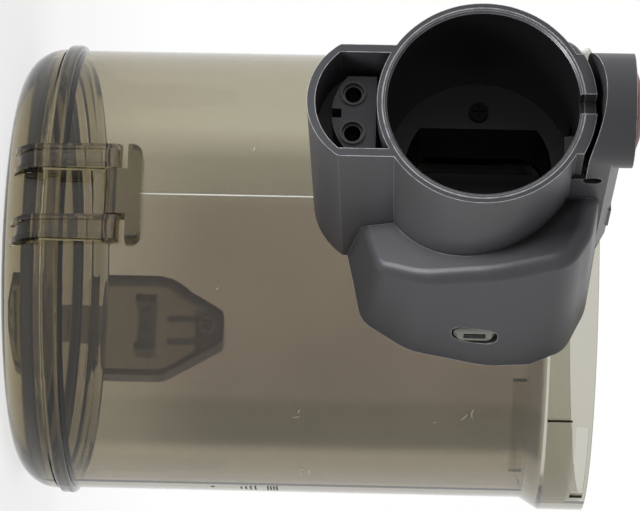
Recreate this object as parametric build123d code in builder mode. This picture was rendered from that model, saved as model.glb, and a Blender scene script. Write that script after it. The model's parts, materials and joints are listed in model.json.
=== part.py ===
from build123d import *
from math import acos, cos, degrees, radians, sin, sqrt
import os

# Clear dust canister of a stick vacuum cleaner, with its drop-down lid and the neck that takes
# the wand. Millimetres. The canister stands upright on its lid: +Z runs up the canister's axis
# from the middle of the lid's underside, and the neck's port looks along -Y.

# ---- clearances ----
seat_gap = 0.05          # faces of one assembly that seat on each other
running_gap = 0.05       # radial gap of a pin in the hub that turns on it
moving_gap = 0.3         # other faces of pieces that move past each other

# ---- clear canister ----
body_radius = 52.0       # outside of the straight wall
body_wall = 2.0
body_height = 132.6      # lid underside to the top of the collar
collar_proud = 2.7       # collar's radius over the wall's
collar_wall = 2.3
collar_height = 10.2
flare_height = 4.4       # cone between the straight wall and the collar
bead_proud = 1.2         # rolled edge just above the lid
bead_height = 3.6
foot_wall = 2.0          # spigot below the bead that presses on the seal
foot_overlap = 1.3       # how far the spigot reaches into the lid
foot_rise = 4.5          # height of the thick foot above the bead's underside

# ---- lid and seal ----
lid_proud = 0.2
lid_height = 9.6
lid_wall = 2.0
lid_floor = 2.2
lid_corner = 9.2
lid_gap = 0.4            # lid's top edge to the bead
seal_width = 3.3
seal_height = 2.4
seal_rib_wall = 1.3
seal_rib_over = 0.6      # height of the rib that is hidden behind the seal's top

# ---- lid hinge at the front ----
hinge_z = 25.3
hinge_standoff = 2.4     # pin from the canister's wall
knuckle_radius = 2.0
hinge_pin_radius = 0.9
arm_inner = 5.5          # each arm's inner and outer sides, from the symmetry plane
arm_outer = 11.0
arm_foot = 3.4           # arm's root inside the lid's radius
arm_lean = 0.6           # arm's bend inside its upper end
arm_foot_low = 2.6
arm_bend_rise = 0.4      # bend over the foot
arm_round = 7.5
arm_rail = 1.1           # width of the rails along each arm's sides
arm_groove = 0.7         # depth of the groove between them
lug_drop = 4.0           # lower end of the canister's lug, below the pin
stop_bar_height = 3.2
stop_gap = 1.3           # knuckle to the stop bar over it
stop_bar_corner = 2.4

# ---- latch lever at the back ----
latch_pivot_z = 24.0
latch_standoff = 6.0     # pin from the canister's wall
latch_pin_radius = 1.25
latch_hub_radius = 2.6
latch_hub_half = 5.2
latch_ear_wall = 2.0
latch_half_width = 13.8
latch_tip_half_width = 4.2
latch_taper = 4.5        # start of the taper above the pin
latch_length = 20.0      # tip above the pin
latch_depth = 4.4        # outer face from the pin
latch_plate = 1.8
latch_skirt_wall = 1.7
latch_travel_angle = 8.0
latch_corner = 2.6
latch_shoulder_round = 7.0
latch_x = -2.5           # the latch stands a little to the left
latch_pad_length = 7.6
latch_pad_margin = 1.4
latch_rib_x = 3.1
latch_rib_wall = 1.0
latch_rib_rise = 9.0
lever_spring_below = 4.3 # spring's middle below the tip
lever_spring_radius = 2.0
hook_drop = 0.8          # hook's end below the catch's underside
hook_wall = 2.0
hook_half_width = 5.0
catch_length = 2.6       # lid's catch beyond the lid
catch_height = 3.2
catch_below = 1.2        # catch's top below the lid's edge
catch_half_width = 4.0

# ---- wand port ----
port_drop = 27.3         # port's axis below the canister's top
bore_radius = 19.4
land_length = 18.5       # guiding stretch of the bore behind the rim
relief = 0.25            # extra radius of the bore behind the land
sleeve_wall = 0.95
tube_wall = 1.0
bore_depth = 40.0        # rim to the ledge
throat_radius = 15.7
throat_wall = 1.6
ledge_thickness = 2.0
baffle_x = -9.5          # straight edge of the half-moon wall
baffle_thickness = 1.1
throat_gap = 0.6         # throat's free end to the collar's radius
throat_run = 7.65        # flange to the back of the ledge
rim_chamfer = 0.45

# ---- duct spigot on the canister, with its gasket ----
spigot_wall = 1.8
spigot_proud = 5.3       # spigot's end beyond the collar's radius
gasket_thickness = 1.9
flange_thickness = 1.9
post_x = -13.0           # boss that takes the sleeve's screw
post_radius = 2.2
screw_radius = 1.1
screw_head_radius = 2.1
screw_head_height = 1.3
screw_length = 9.0

# ---- inlet flap inside the canister ----
frame_wall = 1.2
frame_depth = 4.2        # flat seat of the flap, inside the canister's wall
flap_thickness = 1.2
flap_lap = 0.8           # how far the flap covers the seat
flap_pin_radius = 0.8
flap_hub_radius = 1.5
flap_hub_length = 16.0
flap_spring_length = 3.0
flap_ear_wall = 1.6
flap_pin_side = 1.9      # pin beside the frame

# ---- small features of the canister's collar ----
lug_from = 45.0          # bayonet lugs inside the mouth: degrees round from the port
lug_span = 33.0
lug_depth = 1.4
lug_height = 3.0
lug_below = 0.3          # lug's top below the start of the flare
block_from = 53.0        # raised block on the collar
block_span = 34.0
block_proud = 0.8
collar_block_height = 5.6
pocket_margin = 2.0
pocket_sink = 0.6
pocket_height = 2.9

# ---- contact housing under the port ----
dock_half_width = 12.0
dock_wall = 1.7
dock_below = 9.2         # lowest point, below the sockets
dock_corner_below = 2.6  # start of the round end, below the sockets
dock_back_gap = 6.0      # end of the chamber, from the canister's wall
block_recess = 7.5
block_length = 16.0
block_half_width = 8.0
block_gap = 0.2          # tube to the block
block_below = 4.3        # lowest point, below the sockets
block_corner_below = 1.1
socket_x = 4.2
socket_drop = 4.7        # sockets below the block's top
socket_radius = 1.7
socket_depth = 9.6
contact_wall = 0.4
contact_length = 13.5
contact_lip = 0.6
collar_rise = 0.6
collar_lip_radius = 2.6
key_width = 2.0

# ---- contact strips and top terminal ----
strip_behind = 2.2       # plane of the strips' arcs, from the flange
strip_thickness = 1.2
strip_width = 1.5
strip_clear = 1.05       # tube to strip
strip_slot_gap = 0.4
strip_bar_width = 2.4
strip_bar_height = 1.0
terminal_half_width = 7.6
terminal_length = 10.0
terminal_floor = 1.6     # tube to the terminal's underside
terminal_rise = 0.2      # above the bridge's top
blade_inset = 2.2        # blade's middle from the terminal's side
blade_width = 1.8
blade_well_side = 0.8    # well round each blade
blade_well_front = 1.7
blade_well_depth = 3.0

# ---- button boss and bridge on top of the port ----
boss_inset = 3.45        # boss's middle behind the rim
boss_radius = 11.5
boss_over = 4.3          # boss's top over the wand latch's
bridge_drop = 1.7        # bridge's top below the boss's
bridge_half_width = 11.5
bridge_crown = 6.8       # half width of the bridge's flat top
bridge_side_drop = 2.6   # bridge's sides below its top
scoop_gap = 2.6          # crescent gap outside the tube
thick_rise = 1.3         # thickened top of the rim
thick_half_width = 10.7
scoop_depth = 12.45      # rim to the back of the crescent gap
notch_half_width = 2.1
notch_depth = 5.0
notch_below = 2.0        # notch's floor, below the tube's outside

# ---- release button ----
button_radius = 8.2
button_gap = 0.3
button_proud = 1.7
button_skirt = 2.4       # depth of the skirt below the boss's top
button_wall = 1.6
button_travel = 2.0
button_dome = 1.3
well_depth = 4.7
foot_half_width = 2.5
foot_thickness = 1.7
foot_reach = 10.5        # foot's end behind the button's middle
button_spring_radius = 4.6
spring_wire = 0.6

# ---- wand latch ----
rocker_behind = 17.5     # pin behind the button's middle
rocker_rise = 5.8        # pin above the bore
rocker_pin_radius = 1.0
rocker_hub_radius = 1.9
rocker_pin_half = 9.0
rocker_half_width = 3.0
rocker_arm = 7.9         # front end from the pin
rocker_arm_low = 1.0     # arm's underside below the pin's middle
rocker_arm_high = 0.5
rocker_tail = 10.1
rocker_tail_high = -1.5  # tail's top over the pin's middle
nose_length = 5.0
nose_depth = 1.8         # how far the nose stands in the bore
cavity_play = 0.6        # cavity in front of the rocker
cavity_tail_play = 2.5
roof_wall = 0.9          # skin over the cavity
rocker_spring_length = 2.2
slit_behind = 0.4        # behind the rocker's front end
slit_below = 2.7         # below the rocker's pin
slit_length = 4.0
slit_width = 3.4
slit_depth = 2.4

# ---- saddle that blends the port into the canister ----
saddle_half_width = 35.2
saddle_below = 31.5      # low edge, below the port's axis
saddle_above = 27.0
saddle_draft = 10.3      # how much nearer the axis each edge is at the crest
saddle_draft_low = 9.5
saddle_draft_high = 1.8
toe_width = 0.33         # corners of the outline, as shares of the half width and the height
heel_width = 0.78
heel_rise = 0.08
hip_width = 0.93
hip_rise = 0.27
waist_rise = 0.58
shoulder_width = 0.98
shoulder_rise = 0.875
brow_width = 0.74
brow_rise = 0.96
crown_width = 0.33
toe_round = 7.0
heel_round = 5.0
hip_round = 20.0
waist_round = 40.0
shoulder_round = 6.0
brow_round = 8.0
crown_round = 8.0
saddle_sink = 22.0       # depth of the loft behind the canister's wall
saddle_over = 23.0       # end of the loft beyond the crest plane
crest_rise = 17.0        # crest plane, from the canister's wall
crest_from = 27.7        # height of that measure, below the port's axis
crest_slope = 0.42
saddle_wall = 2.0
ridge_round = 3.0
window_gap = 1.6         # window's middle from the canister's wall
window_above = 0.2
window_length = 10.0
window_width = 6.6
window_corner = 2.8
tongue_inset = 3.4       # tongue behind the saddle's outer wall
tongue_thickness = 1.7
tongue_width = 9.0
tongue_over = 0.6        # tongue's tip past the window
barb_height = 2.6
barb_chamfer = 0.9
barb_slot_width = 2.0
barb_slot_length = 4.8
barb_slot_depth = 2.0

# ---- values that follow ----
collar_radius = body_radius + collar_proud
bead_radius = body_radius + bead_proud
lid_radius = body_radius + lid_proud
hinge_reach = body_radius + hinge_standoff
latch_pivot_reach = body_radius + latch_standoff
latch_face = latch_pivot_reach + latch_depth
latch_tip = latch_pivot_z + latch_length
latch_shoulder = latch_pivot_z + latch_taper
catch_reach = lid_radius + catch_length
catch_high = lid_height - catch_below
catch_low = catch_high - catch_height
hook_low = catch_low - hook_drop
body_bore = body_radius - body_wall
collar_bore = collar_radius - collar_wall
flare_top = body_height - collar_height
flare_low = flare_top - flare_height
bead_low = lid_height + lid_gap
bead_top = bead_low + bead_height
latch_low = bead_low
lid_bore = lid_radius - lid_wall
spigot_outer = lid_bore - moving_gap
spigot_inner = spigot_outer - foot_wall
foot_low = lid_height - foot_overlap
foot_top = bead_low + foot_rise
seal_top = foot_low - moving_gap
seal_low = seal_top - seal_height
seal_inner = lid_bore - moving_gap - seal_width
rib_outer = seal_inner - seat_gap
rib_inner = rib_outer - seal_rib_wall
rib_top = seal_top - seal_rib_over
stop_low = hinge_z + knuckle_radius + stop_gap
stop_top = stop_low + stop_bar_height
arm_clear = bead_radius + 2 * moving_gap
lug_half_width = arm_inner - moving_gap
lug_low = hinge_z - lug_drop
hinge_face = hinge_reach + knuckle_radius
latch_back = latch_face - latch_plate
pad_low = latch_tip - latch_pad_length
rib_middle = latch_pivot_z + latch_rib_rise
ear_inner = latch_hub_half + moving_gap
ear_outer = ear_inner + latch_ear_wall
latch_swing = (latch_tip - latch_pivot_z) * sin(radians(latch_travel_angle))
skirt_reach = body_radius + latch_swing + moving_gap
pad_face = (latch_back + skirt_reach) / 2
lever_spring_z = latch_tip - lever_spring_below
hook_reach = catch_reach + moving_gap
port_z = body_height - port_drop
sleeve_outer = bore_radius + sleeve_wall
tube_bore = sleeve_outer + seat_gap
tube_radius = tube_bore + tube_wall
throat_outer = throat_radius + throat_wall
throat_end = collar_radius + throat_gap
spigot_end = collar_radius + spigot_proud
spigot_bore = throat_outer + seat_gap
duct_outer = spigot_bore + spigot_wall
gasket_end = spigot_end + gasket_thickness
flange_end = gasket_end + flange_thickness
ledge_back = flange_end + throat_run
ledge_reach = ledge_back + ledge_thickness
rim_reach = ledge_reach + bore_depth
frame_end = body_bore - frame_depth
flap_face = frame_end - moving_gap
flap_back = flap_face - flap_thickness
flap_pin_x = baffle_x - frame_wall - flap_pin_side
flap_pin_reach = flap_face - flap_hub_radius + 0.6
flap_hub_low = port_z - (flap_hub_length + flap_spring_length) / 2
flap_hub_high = flap_hub_low + flap_hub_length
flap_ear_low = flap_hub_low - moving_gap
flap_ear_high = flap_hub_high + flap_spring_length + 2 * moving_gap
block_top = tube_radius + block_gap
socket_z = block_top + socket_drop
block_corner = socket_z + block_corner_below
block_end = socket_z + block_below
dock_corner = socket_z + dock_corner_below
dock_end = socket_z + dock_below
dock_back = body_radius + dock_back_gap
block_face = rim_reach - block_recess
contact_face = block_face - contact_lip
contact_back = contact_face - contact_length
contact_outer = socket_radius + contact_wall
strip_y = flange_end + strip_behind
strip_inner = tube_radius + strip_clear
strip_outer = strip_inner + strip_width
terminal_low = port_z + tube_radius + terminal_floor
blade_x = terminal_half_width - blade_inset
strip_middle = (strip_inner + strip_outer) / 2
strip_low_angle = 72
strip_high_angle = degrees(acos(blade_x / strip_middle))
crescent_back = rim_reach - scoop_depth
scoop_radius = tube_radius + scoop_gap
thick_radius = tube_radius + thick_rise
boss_reach = rim_reach - boss_inset
rocker_pin_reach = boss_reach - rocker_behind
rocker_pin_z = port_z + bore_radius + rocker_rise
rocker_front_reach = rocker_pin_reach + rocker_arm
rocker_front_low = rocker_pin_z - rocker_arm_low
rocker_front_high = rocker_pin_z + rocker_arm_high
rocker_back_reach = rocker_pin_reach - rocker_tail
rocker_back_high = rocker_pin_z + rocker_tail_high
nose_front_reach = rocker_back_reach + nose_length
boss_top = rocker_front_high + boss_over
bridge_top = boss_top - bridge_drop
button_well_radius = button_radius + button_gap
well_floor_z = boss_top - well_depth
foot_end_reach = boss_reach - foot_reach
foot_slot_front = boss_reach - 0.6 * button_radius
foot_slot_back = foot_end_reach - moving_gap
cavity_half_width = rocker_half_width + rocker_spring_length + 2 * moving_gap
cavity_front = rocker_front_reach + cavity_play
cavity_back = rocker_back_reach - cavity_tail_play
cavity_roof = bridge_top - roof_wall
slit_reach = rocker_front_reach - slit_behind
slit_z = rocker_pin_z - slit_below
button_top = boss_top + button_proud
button_low = boss_top - button_skirt
foot_low_z = rocker_front_high + moving_gap
foot_high_z = foot_low_z + foot_thickness
nose_radius = bore_radius - nose_depth
crest_reach = body_radius + crest_rise
saddle_root = body_radius - saddle_sink
saddle_crest = crest_reach + saddle_over
saddle_span = saddle_below + saddle_above
window_reach = body_radius + window_gap
window_z = port_z + window_above
window_draft = (window_reach - saddle_root) / (saddle_crest - saddle_root)
window_low = window_draft * saddle_draft_low - saddle_below
window_rise = saddle_above - window_draft * saddle_draft_high - window_low
window_share = ((window_above - window_low) / window_rise - hip_rise) / (waist_rise - hip_rise)
window_x = (saddle_half_width - window_draft * saddle_draft) * (hip_width + (1 - hip_width) * window_share)
tongue_outer = window_x - tongue_inset
tongue_tip = window_reach + window_width / 2 + tongue_over


def front_plane(reach):
    """Plane that looks along -Y at a distance from the axis; its local axes are X and Z."""
    return Plane.XZ.offset(reach)


def side_plane(x):
    """Plane that looks along +X; its local axes are Y and Z."""
    return Plane.YZ.offset(x)


def port_plane(reach):
    """Front plane with its origin on the port's axis."""
    return Plane(origin=(0, -reach, port_z), x_dir=(1, 0, 0), z_dir=(0, -1, 0))


def latch_plane(reach):
    """Plane behind the canister that looks towards it, with its origin on the latch's middle."""
    return Plane(origin=(latch_x, reach, 0), x_dir=(1, 0, 0), z_dir=(0, -1, 0))


def save(node, name):
    """Label a finished piece and write its STEP file."""
    node.part.label = name
    export_step(node.part, f"parts/{name}.step")


def d_outline(radius, cut):
    """Round opening with a straight side at x = cut, drawn in the builder in force."""
    Circle(radius)
    with Locations((cut - radius, 0)):
        Rectangle(2 * radius, 4 * radius, mode=Mode.SUBTRACT)


def dock_outline(half_width, end, corner):
    """Contact housing's outline below the port: straight sides and a round end."""
    with BuildLine() as border:
        Polyline((-half_width, -corner), (-half_width, 0), (half_width, 0), (half_width, -corner))
        ThreePointArc((half_width, -corner), (0, -end), (-half_width, -corner))
    make_face(border.edges())


def saddle_outline(inset, draft):
    """Saddle seen from the front. Inset is a wall to leave, draft is 0 at the root and 1 at the crest."""
    half = saddle_half_width - draft * saddle_draft - inset
    low = draft * saddle_draft_low - saddle_below + inset
    rise = saddle_above - draft * saddle_draft_high - inset - low
    right = [
        (toe_width * half, low),
        (heel_width * half, low + heel_rise * rise),
        (hip_width * half, low + hip_rise * rise),
        (half, low + waist_rise * rise),
        (shoulder_width * half, low + shoulder_rise * rise),
        (brow_width * half, low + brow_rise * rise),
        (crown_width * half, low + rise),
    ]
    left = [(-x, z) for x, z in reversed(right)]
    rounds = [toe_round, heel_round, hip_round, waist_round, shoulder_round, brow_round, crown_round]
    rounds = [radius - inset for radius in rounds]
    with BuildSketch(port_plane(saddle_root + draft * (saddle_crest - saddle_root))) as outline:
        with BuildLine():
            FilletPolyline(*right, *left, radius=rounds + rounds[::-1], close=True)
        make_face()
    return outline.sketch


def over_crest(wall):
    """Side view of the space in front of the saddle's crest plane, moved in by a wall."""
    low = port_z - crest_from
    with BuildLine() as border:
        Polyline(
            (-crest_reach + wall, low),
            (-crest_reach + wall - crest_slope * 2 * saddle_span, low + 2 * saddle_span),
            (-2 * saddle_crest, low + 2 * saddle_span),
            (-2 * saddle_crest, low - saddle_span),
            (-crest_reach + wall + crest_slope * saddle_span, low - saddle_span),
            close=True,
        )
    make_face(border.edges())


os.makedirs("parts", exist_ok=True)

# ---- outside of the canister as one solid, for what seats on it ----
with BuildPart() as body_envelope:
    with BuildSketch(Plane.XZ):
        with BuildLine():
            Polyline(
                (0, bead_low),
                (body_radius + seat_gap, bead_low),
                (body_radius + seat_gap, flare_low),
                (collar_radius + seat_gap, flare_top),
                (collar_radius + seat_gap, body_height + collar_height),
                (0, body_height + collar_height),
                close=True,
            )
        make_face()
    revolve(axis=Axis.Z)

# ---- inside of the canister as one solid, and the same a little into its wall ----
with BuildPart() as body_hollow:
    with BuildSketch(Plane.XZ):
        with BuildLine():
            Polyline(
                (0, foot_top),
                (body_bore, foot_top),
                (body_bore, flare_low),
                (collar_bore, flare_top),
                (collar_bore, body_height),
                (0, body_height),
                close=True,
            )
        make_face()
    revolve(axis=Axis.Z)

with BuildPart() as body_core:
    with BuildSketch(Plane.XZ):
        with BuildLine():
            Polyline(
                (0, foot_top),
                (body_bore + body_wall / 4, foot_top),
                (body_bore + body_wall / 4, flare_low),
                (collar_bore + body_wall / 4, flare_top),
                (collar_bore + body_wall / 4, body_height),
                (0, body_height),
                close=True,
            )
        make_face()
    revolve(axis=Axis.Z)

# ---- seat of the inlet flap and the ears of its pin, moulded inside the canister ----
with BuildPart() as inlet_frame:
    with BuildSketch(port_plane(body_radius)):
        d_outline(throat_radius + frame_wall, baffle_x - frame_wall)
    extrude(amount=-(body_radius - frame_end))
    for ear_low in (flap_ear_low - flap_ear_wall, flap_ear_high):
        with BuildSketch(Plane.XY.offset(ear_low)):
            with Locations((flap_pin_x, -(body_radius + flap_pin_reach) / 2)):
                Rectangle(2 * flap_hub_radius, body_radius - flap_pin_reach)
            with Locations((flap_pin_x, -flap_pin_reach)):
                Circle(flap_hub_radius)
                Circle(flap_pin_radius + seat_gap, mode=Mode.SUBTRACT)
        extrude(amount=flap_ear_wall)
    add(body_core.part, mode=Mode.INTERSECT)

# ---- canister shell ----
with BuildPart() as canister_shell:
    with BuildSketch(Plane.XZ) as wall_section:
        with BuildLine():
            Polyline(
                (spigot_inner, foot_low),
                (spigot_outer, foot_low),
                (spigot_outer, bead_low),
                (bead_radius, bead_low),
                (bead_radius, bead_top),
                (body_radius, bead_top),
                (body_radius, flare_low),
                (collar_radius, flare_top),
                (collar_radius, body_height),
                (collar_bore, body_height),
                (collar_bore, flare_top),
                (body_bore, flare_low),
                (body_bore, foot_top),
                (spigot_inner, foot_top - (body_bore - spigot_inner)),
                close=True,
            )
        make_face()
        rolled = wall_section.vertices().filter_by_position(Axis.X, bead_radius - 0.1, bead_radius + 0.1)
        fillet(rolled, radius=min(0.45 * bead_height, 0.85 * (bead_radius - body_radius)))
    revolve(axis=Axis.Z)

    # bracket of the lid's hinge: a stop bar, and a lug between the lid's arms that holds the pin
    with BuildSketch(side_plane(lug_half_width)):
        with BuildLine():
            Polyline((-hinge_reach, lug_low), (-body_bore, lug_low), (-body_bore, stop_top))
            Line((-body_bore, stop_top), (-hinge_face, stop_top))
            Line((-hinge_face, stop_top), (-hinge_face, hinge_z - knuckle_radius / 2))
            RadiusArc((-hinge_face, hinge_z - knuckle_radius / 2), (-hinge_reach, lug_low), lug_drop)
        make_face()
        with Locations((-hinge_reach, hinge_z)):
            Circle(hinge_pin_radius + seat_gap, mode=Mode.SUBTRACT)
    extrude(amount=-2 * lug_half_width)
    with BuildSketch(front_plane(hinge_face)) as stop_bar:
        with Locations((0, (stop_low + stop_top) / 2)):
            Rectangle(2 * arm_outer, stop_bar_height)
        fillet(stop_bar.vertices().group_by(Axis.Y)[-1], radius=stop_bar_corner)
    extrude(amount=-(hinge_face - body_bore))

    # ears that hold the latch lever's pin
    with BuildSketch(side_plane(latch_x + ear_outer)) as ear_side:
        with Locations((body_bore + (latch_pivot_reach - body_bore) / 2, latch_pivot_z)):
            Rectangle(latch_pivot_reach - body_bore, 2 * latch_hub_radius)
        with Locations((latch_pivot_reach, latch_pivot_z)):
            Circle(min(latch_hub_radius, latch_back - latch_pivot_reach - seat_gap))
            Circle(latch_pin_radius + seat_gap, mode=Mode.SUBTRACT)
    extrude(amount=-latch_ear_wall)
    with BuildSketch(side_plane(latch_x - ear_outer)):
        add(ear_side.sketch_local)
    extrude(amount=latch_ear_wall)

    # duct spigot, the screw's post and the two snap tongues
    with BuildSketch(port_plane(spigot_end)):
        Circle(duct_outer)
        Circle(spigot_bore, mode=Mode.SUBTRACT)
    extrude(amount=-(spigot_end - frame_end))
    with BuildSketch(port_plane(ledge_back - seat_gap)):
        with Locations((post_x, 0)):
            Circle(post_radius)
    extrude(amount=-(ledge_back - seat_gap - body_bore))
    for side in (-1, 1):
        with BuildSketch(front_plane(tongue_tip)):
            with Locations((side * (tongue_outer - tongue_thickness / 2), window_z)):
                Rectangle(tongue_thickness, tongue_width)
        extrude(amount=-(tongue_tip - sqrt(body_radius**2 - tongue_outer**2) + body_wall))
        barb_face = side * (tongue_outer + barb_height)
        with BuildSketch(side_plane(barb_face)):
            with Locations((-window_reach, window_z)):
                RectangleRounded(
                    window_width - 2 * moving_gap,
                    window_length - 2 * moving_gap,
                    window_corner - moving_gap,
                )
        extrude(amount=-side * (barb_height + tongue_thickness / 2))
        rim = canister_shell.edges().filter_by_position(Axis.X, barb_face - 0.01, barb_face + 0.01)
        chamfer(rim, length=barb_chamfer)
        with BuildSketch(side_plane(barb_face)):
            with Locations((-window_reach, window_z)):
                Rectangle(barb_slot_width, barb_slot_length)
        extrude(amount=-side * barb_slot_depth, mode=Mode.SUBTRACT)

    # nothing of the above reaches into the canister
    add(body_hollow.part, mode=Mode.SUBTRACT)

    add(inlet_frame.part)
    with BuildSketch(port_plane(body_radius + 1)):
        d_outline(throat_radius, baffle_x)
    extrude(amount=-(body_radius + 1 - frame_end + 1), mode=Mode.SUBTRACT)
    with BuildSketch(port_plane(ledge_back)):
        with Locations((post_x, 0)):
            Circle(0.8 * screw_radius)
    extrude(amount=-screw_length, mode=Mode.SUBTRACT)

    # bayonet lugs inside the mouth, raised blocks and pockets round the collar
    for side in (-1, 1):
        turn = -90 + lug_from if side > 0 else -90 - lug_from - lug_span
        with BuildSketch(Plane.XZ.rotated((0, 0, turn), ordering=Extrinsic.XYZ)):
            with Locations((body_bore - lug_depth / 2 + 0.2, flare_low - lug_below - lug_height / 2)):
                Rectangle(lug_depth + 0.4, lug_height)
        revolve(axis=Axis.Z, revolution_arc=lug_span)
        turn = -90 + block_from if side > 0 else -90 - block_from - block_span
        with BuildSketch(Plane.XZ.rotated((0, 0, turn), ordering=Extrinsic.XYZ)):
            with Locations((collar_radius + (block_proud - 0.8) / 2, flare_top + collar_block_height / 2)):
                Rectangle(block_proud + 0.8, collar_block_height)
        revolve(axis=Axis.Z, revolution_arc=block_span)
        turn = -90 + block_from + pocket_margin if side > 0 else -90 - block_from - block_span + pocket_margin
        with BuildSketch(Plane.XZ.rotated((0, 0, turn), ordering=Extrinsic.XYZ)):
            with Locations((collar_radius, flare_top + collar_block_height + 0.9 + pocket_height / 2)):
                Rectangle(2 * pocket_sink, pocket_height)
        revolve(axis=Axis.Z, revolution_arc=block_span - 2 * pocket_margin, mode=Mode.SUBTRACT)
save(canister_shell, "canister_shell")

# ---- lid with its hinge arms and catch ----
arm_root = lid_bore + 0.12 * lid_wall
arm_layers = (
    (arm_inner, arm_inner + arm_rail, 0),
    (arm_inner + arm_rail, arm_outer - arm_rail, arm_groove),
    (arm_outer - arm_rail, arm_outer, 0),
)


def arm_outline(sunk):
    """Side view of a hinge arm, with its outer side moved in by sunk."""
    with BuildLine() as border:
        Polyline(
            (-arm_root, lid_height - seat_gap),
            (-arm_root, seal_low + seat_gap),
            (-(lid_radius - arm_foot), arm_foot_low + sunk),
        )
        FilletPolyline(
            (-(lid_radius - arm_foot), arm_foot_low + sunk),
            (-(hinge_face - arm_lean - sunk), arm_foot_low + arm_bend_rise + sunk),
            (-(hinge_face - sunk), hinge_z),
            radius=arm_round - sunk,
        )
        Polyline(
            (-(hinge_face - sunk), hinge_z),
            (-arm_clear, hinge_z),
            (-arm_clear, lid_height - seat_gap),
            (-arm_root, lid_height - seat_gap),
        )
    make_face(border.edges())


# two arms that sweep up over the bead to knuckles round the hinge pin
with BuildPart() as hinge_arms:
    for inner, outer, sunk in arm_layers:
        with BuildSketch(side_plane(outer)):
            arm_outline(sunk)
            with Locations((-hinge_reach, hinge_z)):
                Circle(knuckle_radius)
                Circle(hinge_pin_radius + running_gap, mode=Mode.SUBTRACT)
        extrude(amount=inner - outer)
    mirror(about=Plane.YZ)

with BuildPart() as lid_cover:
    with BuildSketch(Plane.XZ):
        with BuildLine():
            Polyline((0, lid_floor), (0, 0), (lid_radius - lid_corner, 0))
            CenterArc((lid_radius - lid_corner, lid_corner), lid_corner, 270, 90)
            Polyline(
                (lid_radius, lid_corner),
                (lid_radius, lid_height),
                (lid_bore, lid_height),
                (lid_bore, seal_low - seat_gap),
                (rib_outer, seal_low - seat_gap),
                (rib_outer, rib_top),
                (rib_inner, rib_top),
                (rib_inner, lid_floor),
                (0, lid_floor),
            )
        make_face()
    revolve(axis=Axis.Z)

    add(hinge_arms.part)

    # catch that the latch lever's hook holds
    with BuildSketch(side_plane(latch_x + catch_half_width)):
        with BuildLine():
            Polyline(
                (lid_bore + 0.4, catch_low),
                (catch_reach, catch_low),
                (catch_reach, catch_high - 1.2),
                (lid_radius + 0.6, catch_high),
                (lid_bore + 0.4, catch_high),
                close=True,
            )
        make_face()
    extrude(amount=-2 * catch_half_width)
save(lid_cover, "lid_cover")

# ---- seal in the lid's groove ----
with BuildPart() as lid_seal:
    with BuildSketch(Plane.XZ):
        with Locations((seal_inner + seal_width / 2, seal_low + seal_height / 2)):
            RectangleRounded(seal_width, seal_height, 0.5)
    revolve(axis=Axis.Z)
save(lid_seal, "lid_seal")

# ---- pins that run along X ----
def cross_pin(name, reach, height, radius, low_x, high_x):
    """Pin along X at a signed distance from the axis, with chamfered ends."""
    with BuildPart() as pin:
        with BuildSketch(side_plane(low_x)):
            with Locations((reach, height)):
                Circle(radius)
        extrude(amount=high_x - low_x)
        chamfer(pin.edges().filter_by(GeomType.CIRCLE), length=0.2 * radius)
    save(pin, name)


cross_pin("hinge_pin", -hinge_reach, hinge_z, hinge_pin_radius, -arm_outer, arm_outer)
cross_pin(
    "latch_pin",
    latch_pivot_reach,
    latch_pivot_z,
    latch_pin_radius,
    latch_x - ear_outer,
    latch_x + ear_outer,
)
cross_pin("rocker_pin", -rocker_pin_reach, rocker_pin_z, rocker_pin_radius, -rocker_pin_half, rocker_pin_half)


# ---- latch lever ----
def latch_outline(inset):
    """Lever seen from behind: straight sides, round shoulders and a narrow tip."""
    right = [
        (latch_half_width - inset, latch_low + inset),
        (latch_half_width - inset, latch_shoulder),
        (latch_tip_half_width - inset / 2, latch_tip - inset),
    ]
    left = [(-x, z) for x, z in reversed(right)]
    rounds = [radius - 0.7 * inset for radius in (latch_corner, latch_shoulder_round, latch_corner)]
    with BuildLine() as border:
        FilletPolyline(*right, *left, radius=rounds + rounds[::-1], close=True)
    make_face(border.edges())


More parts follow.
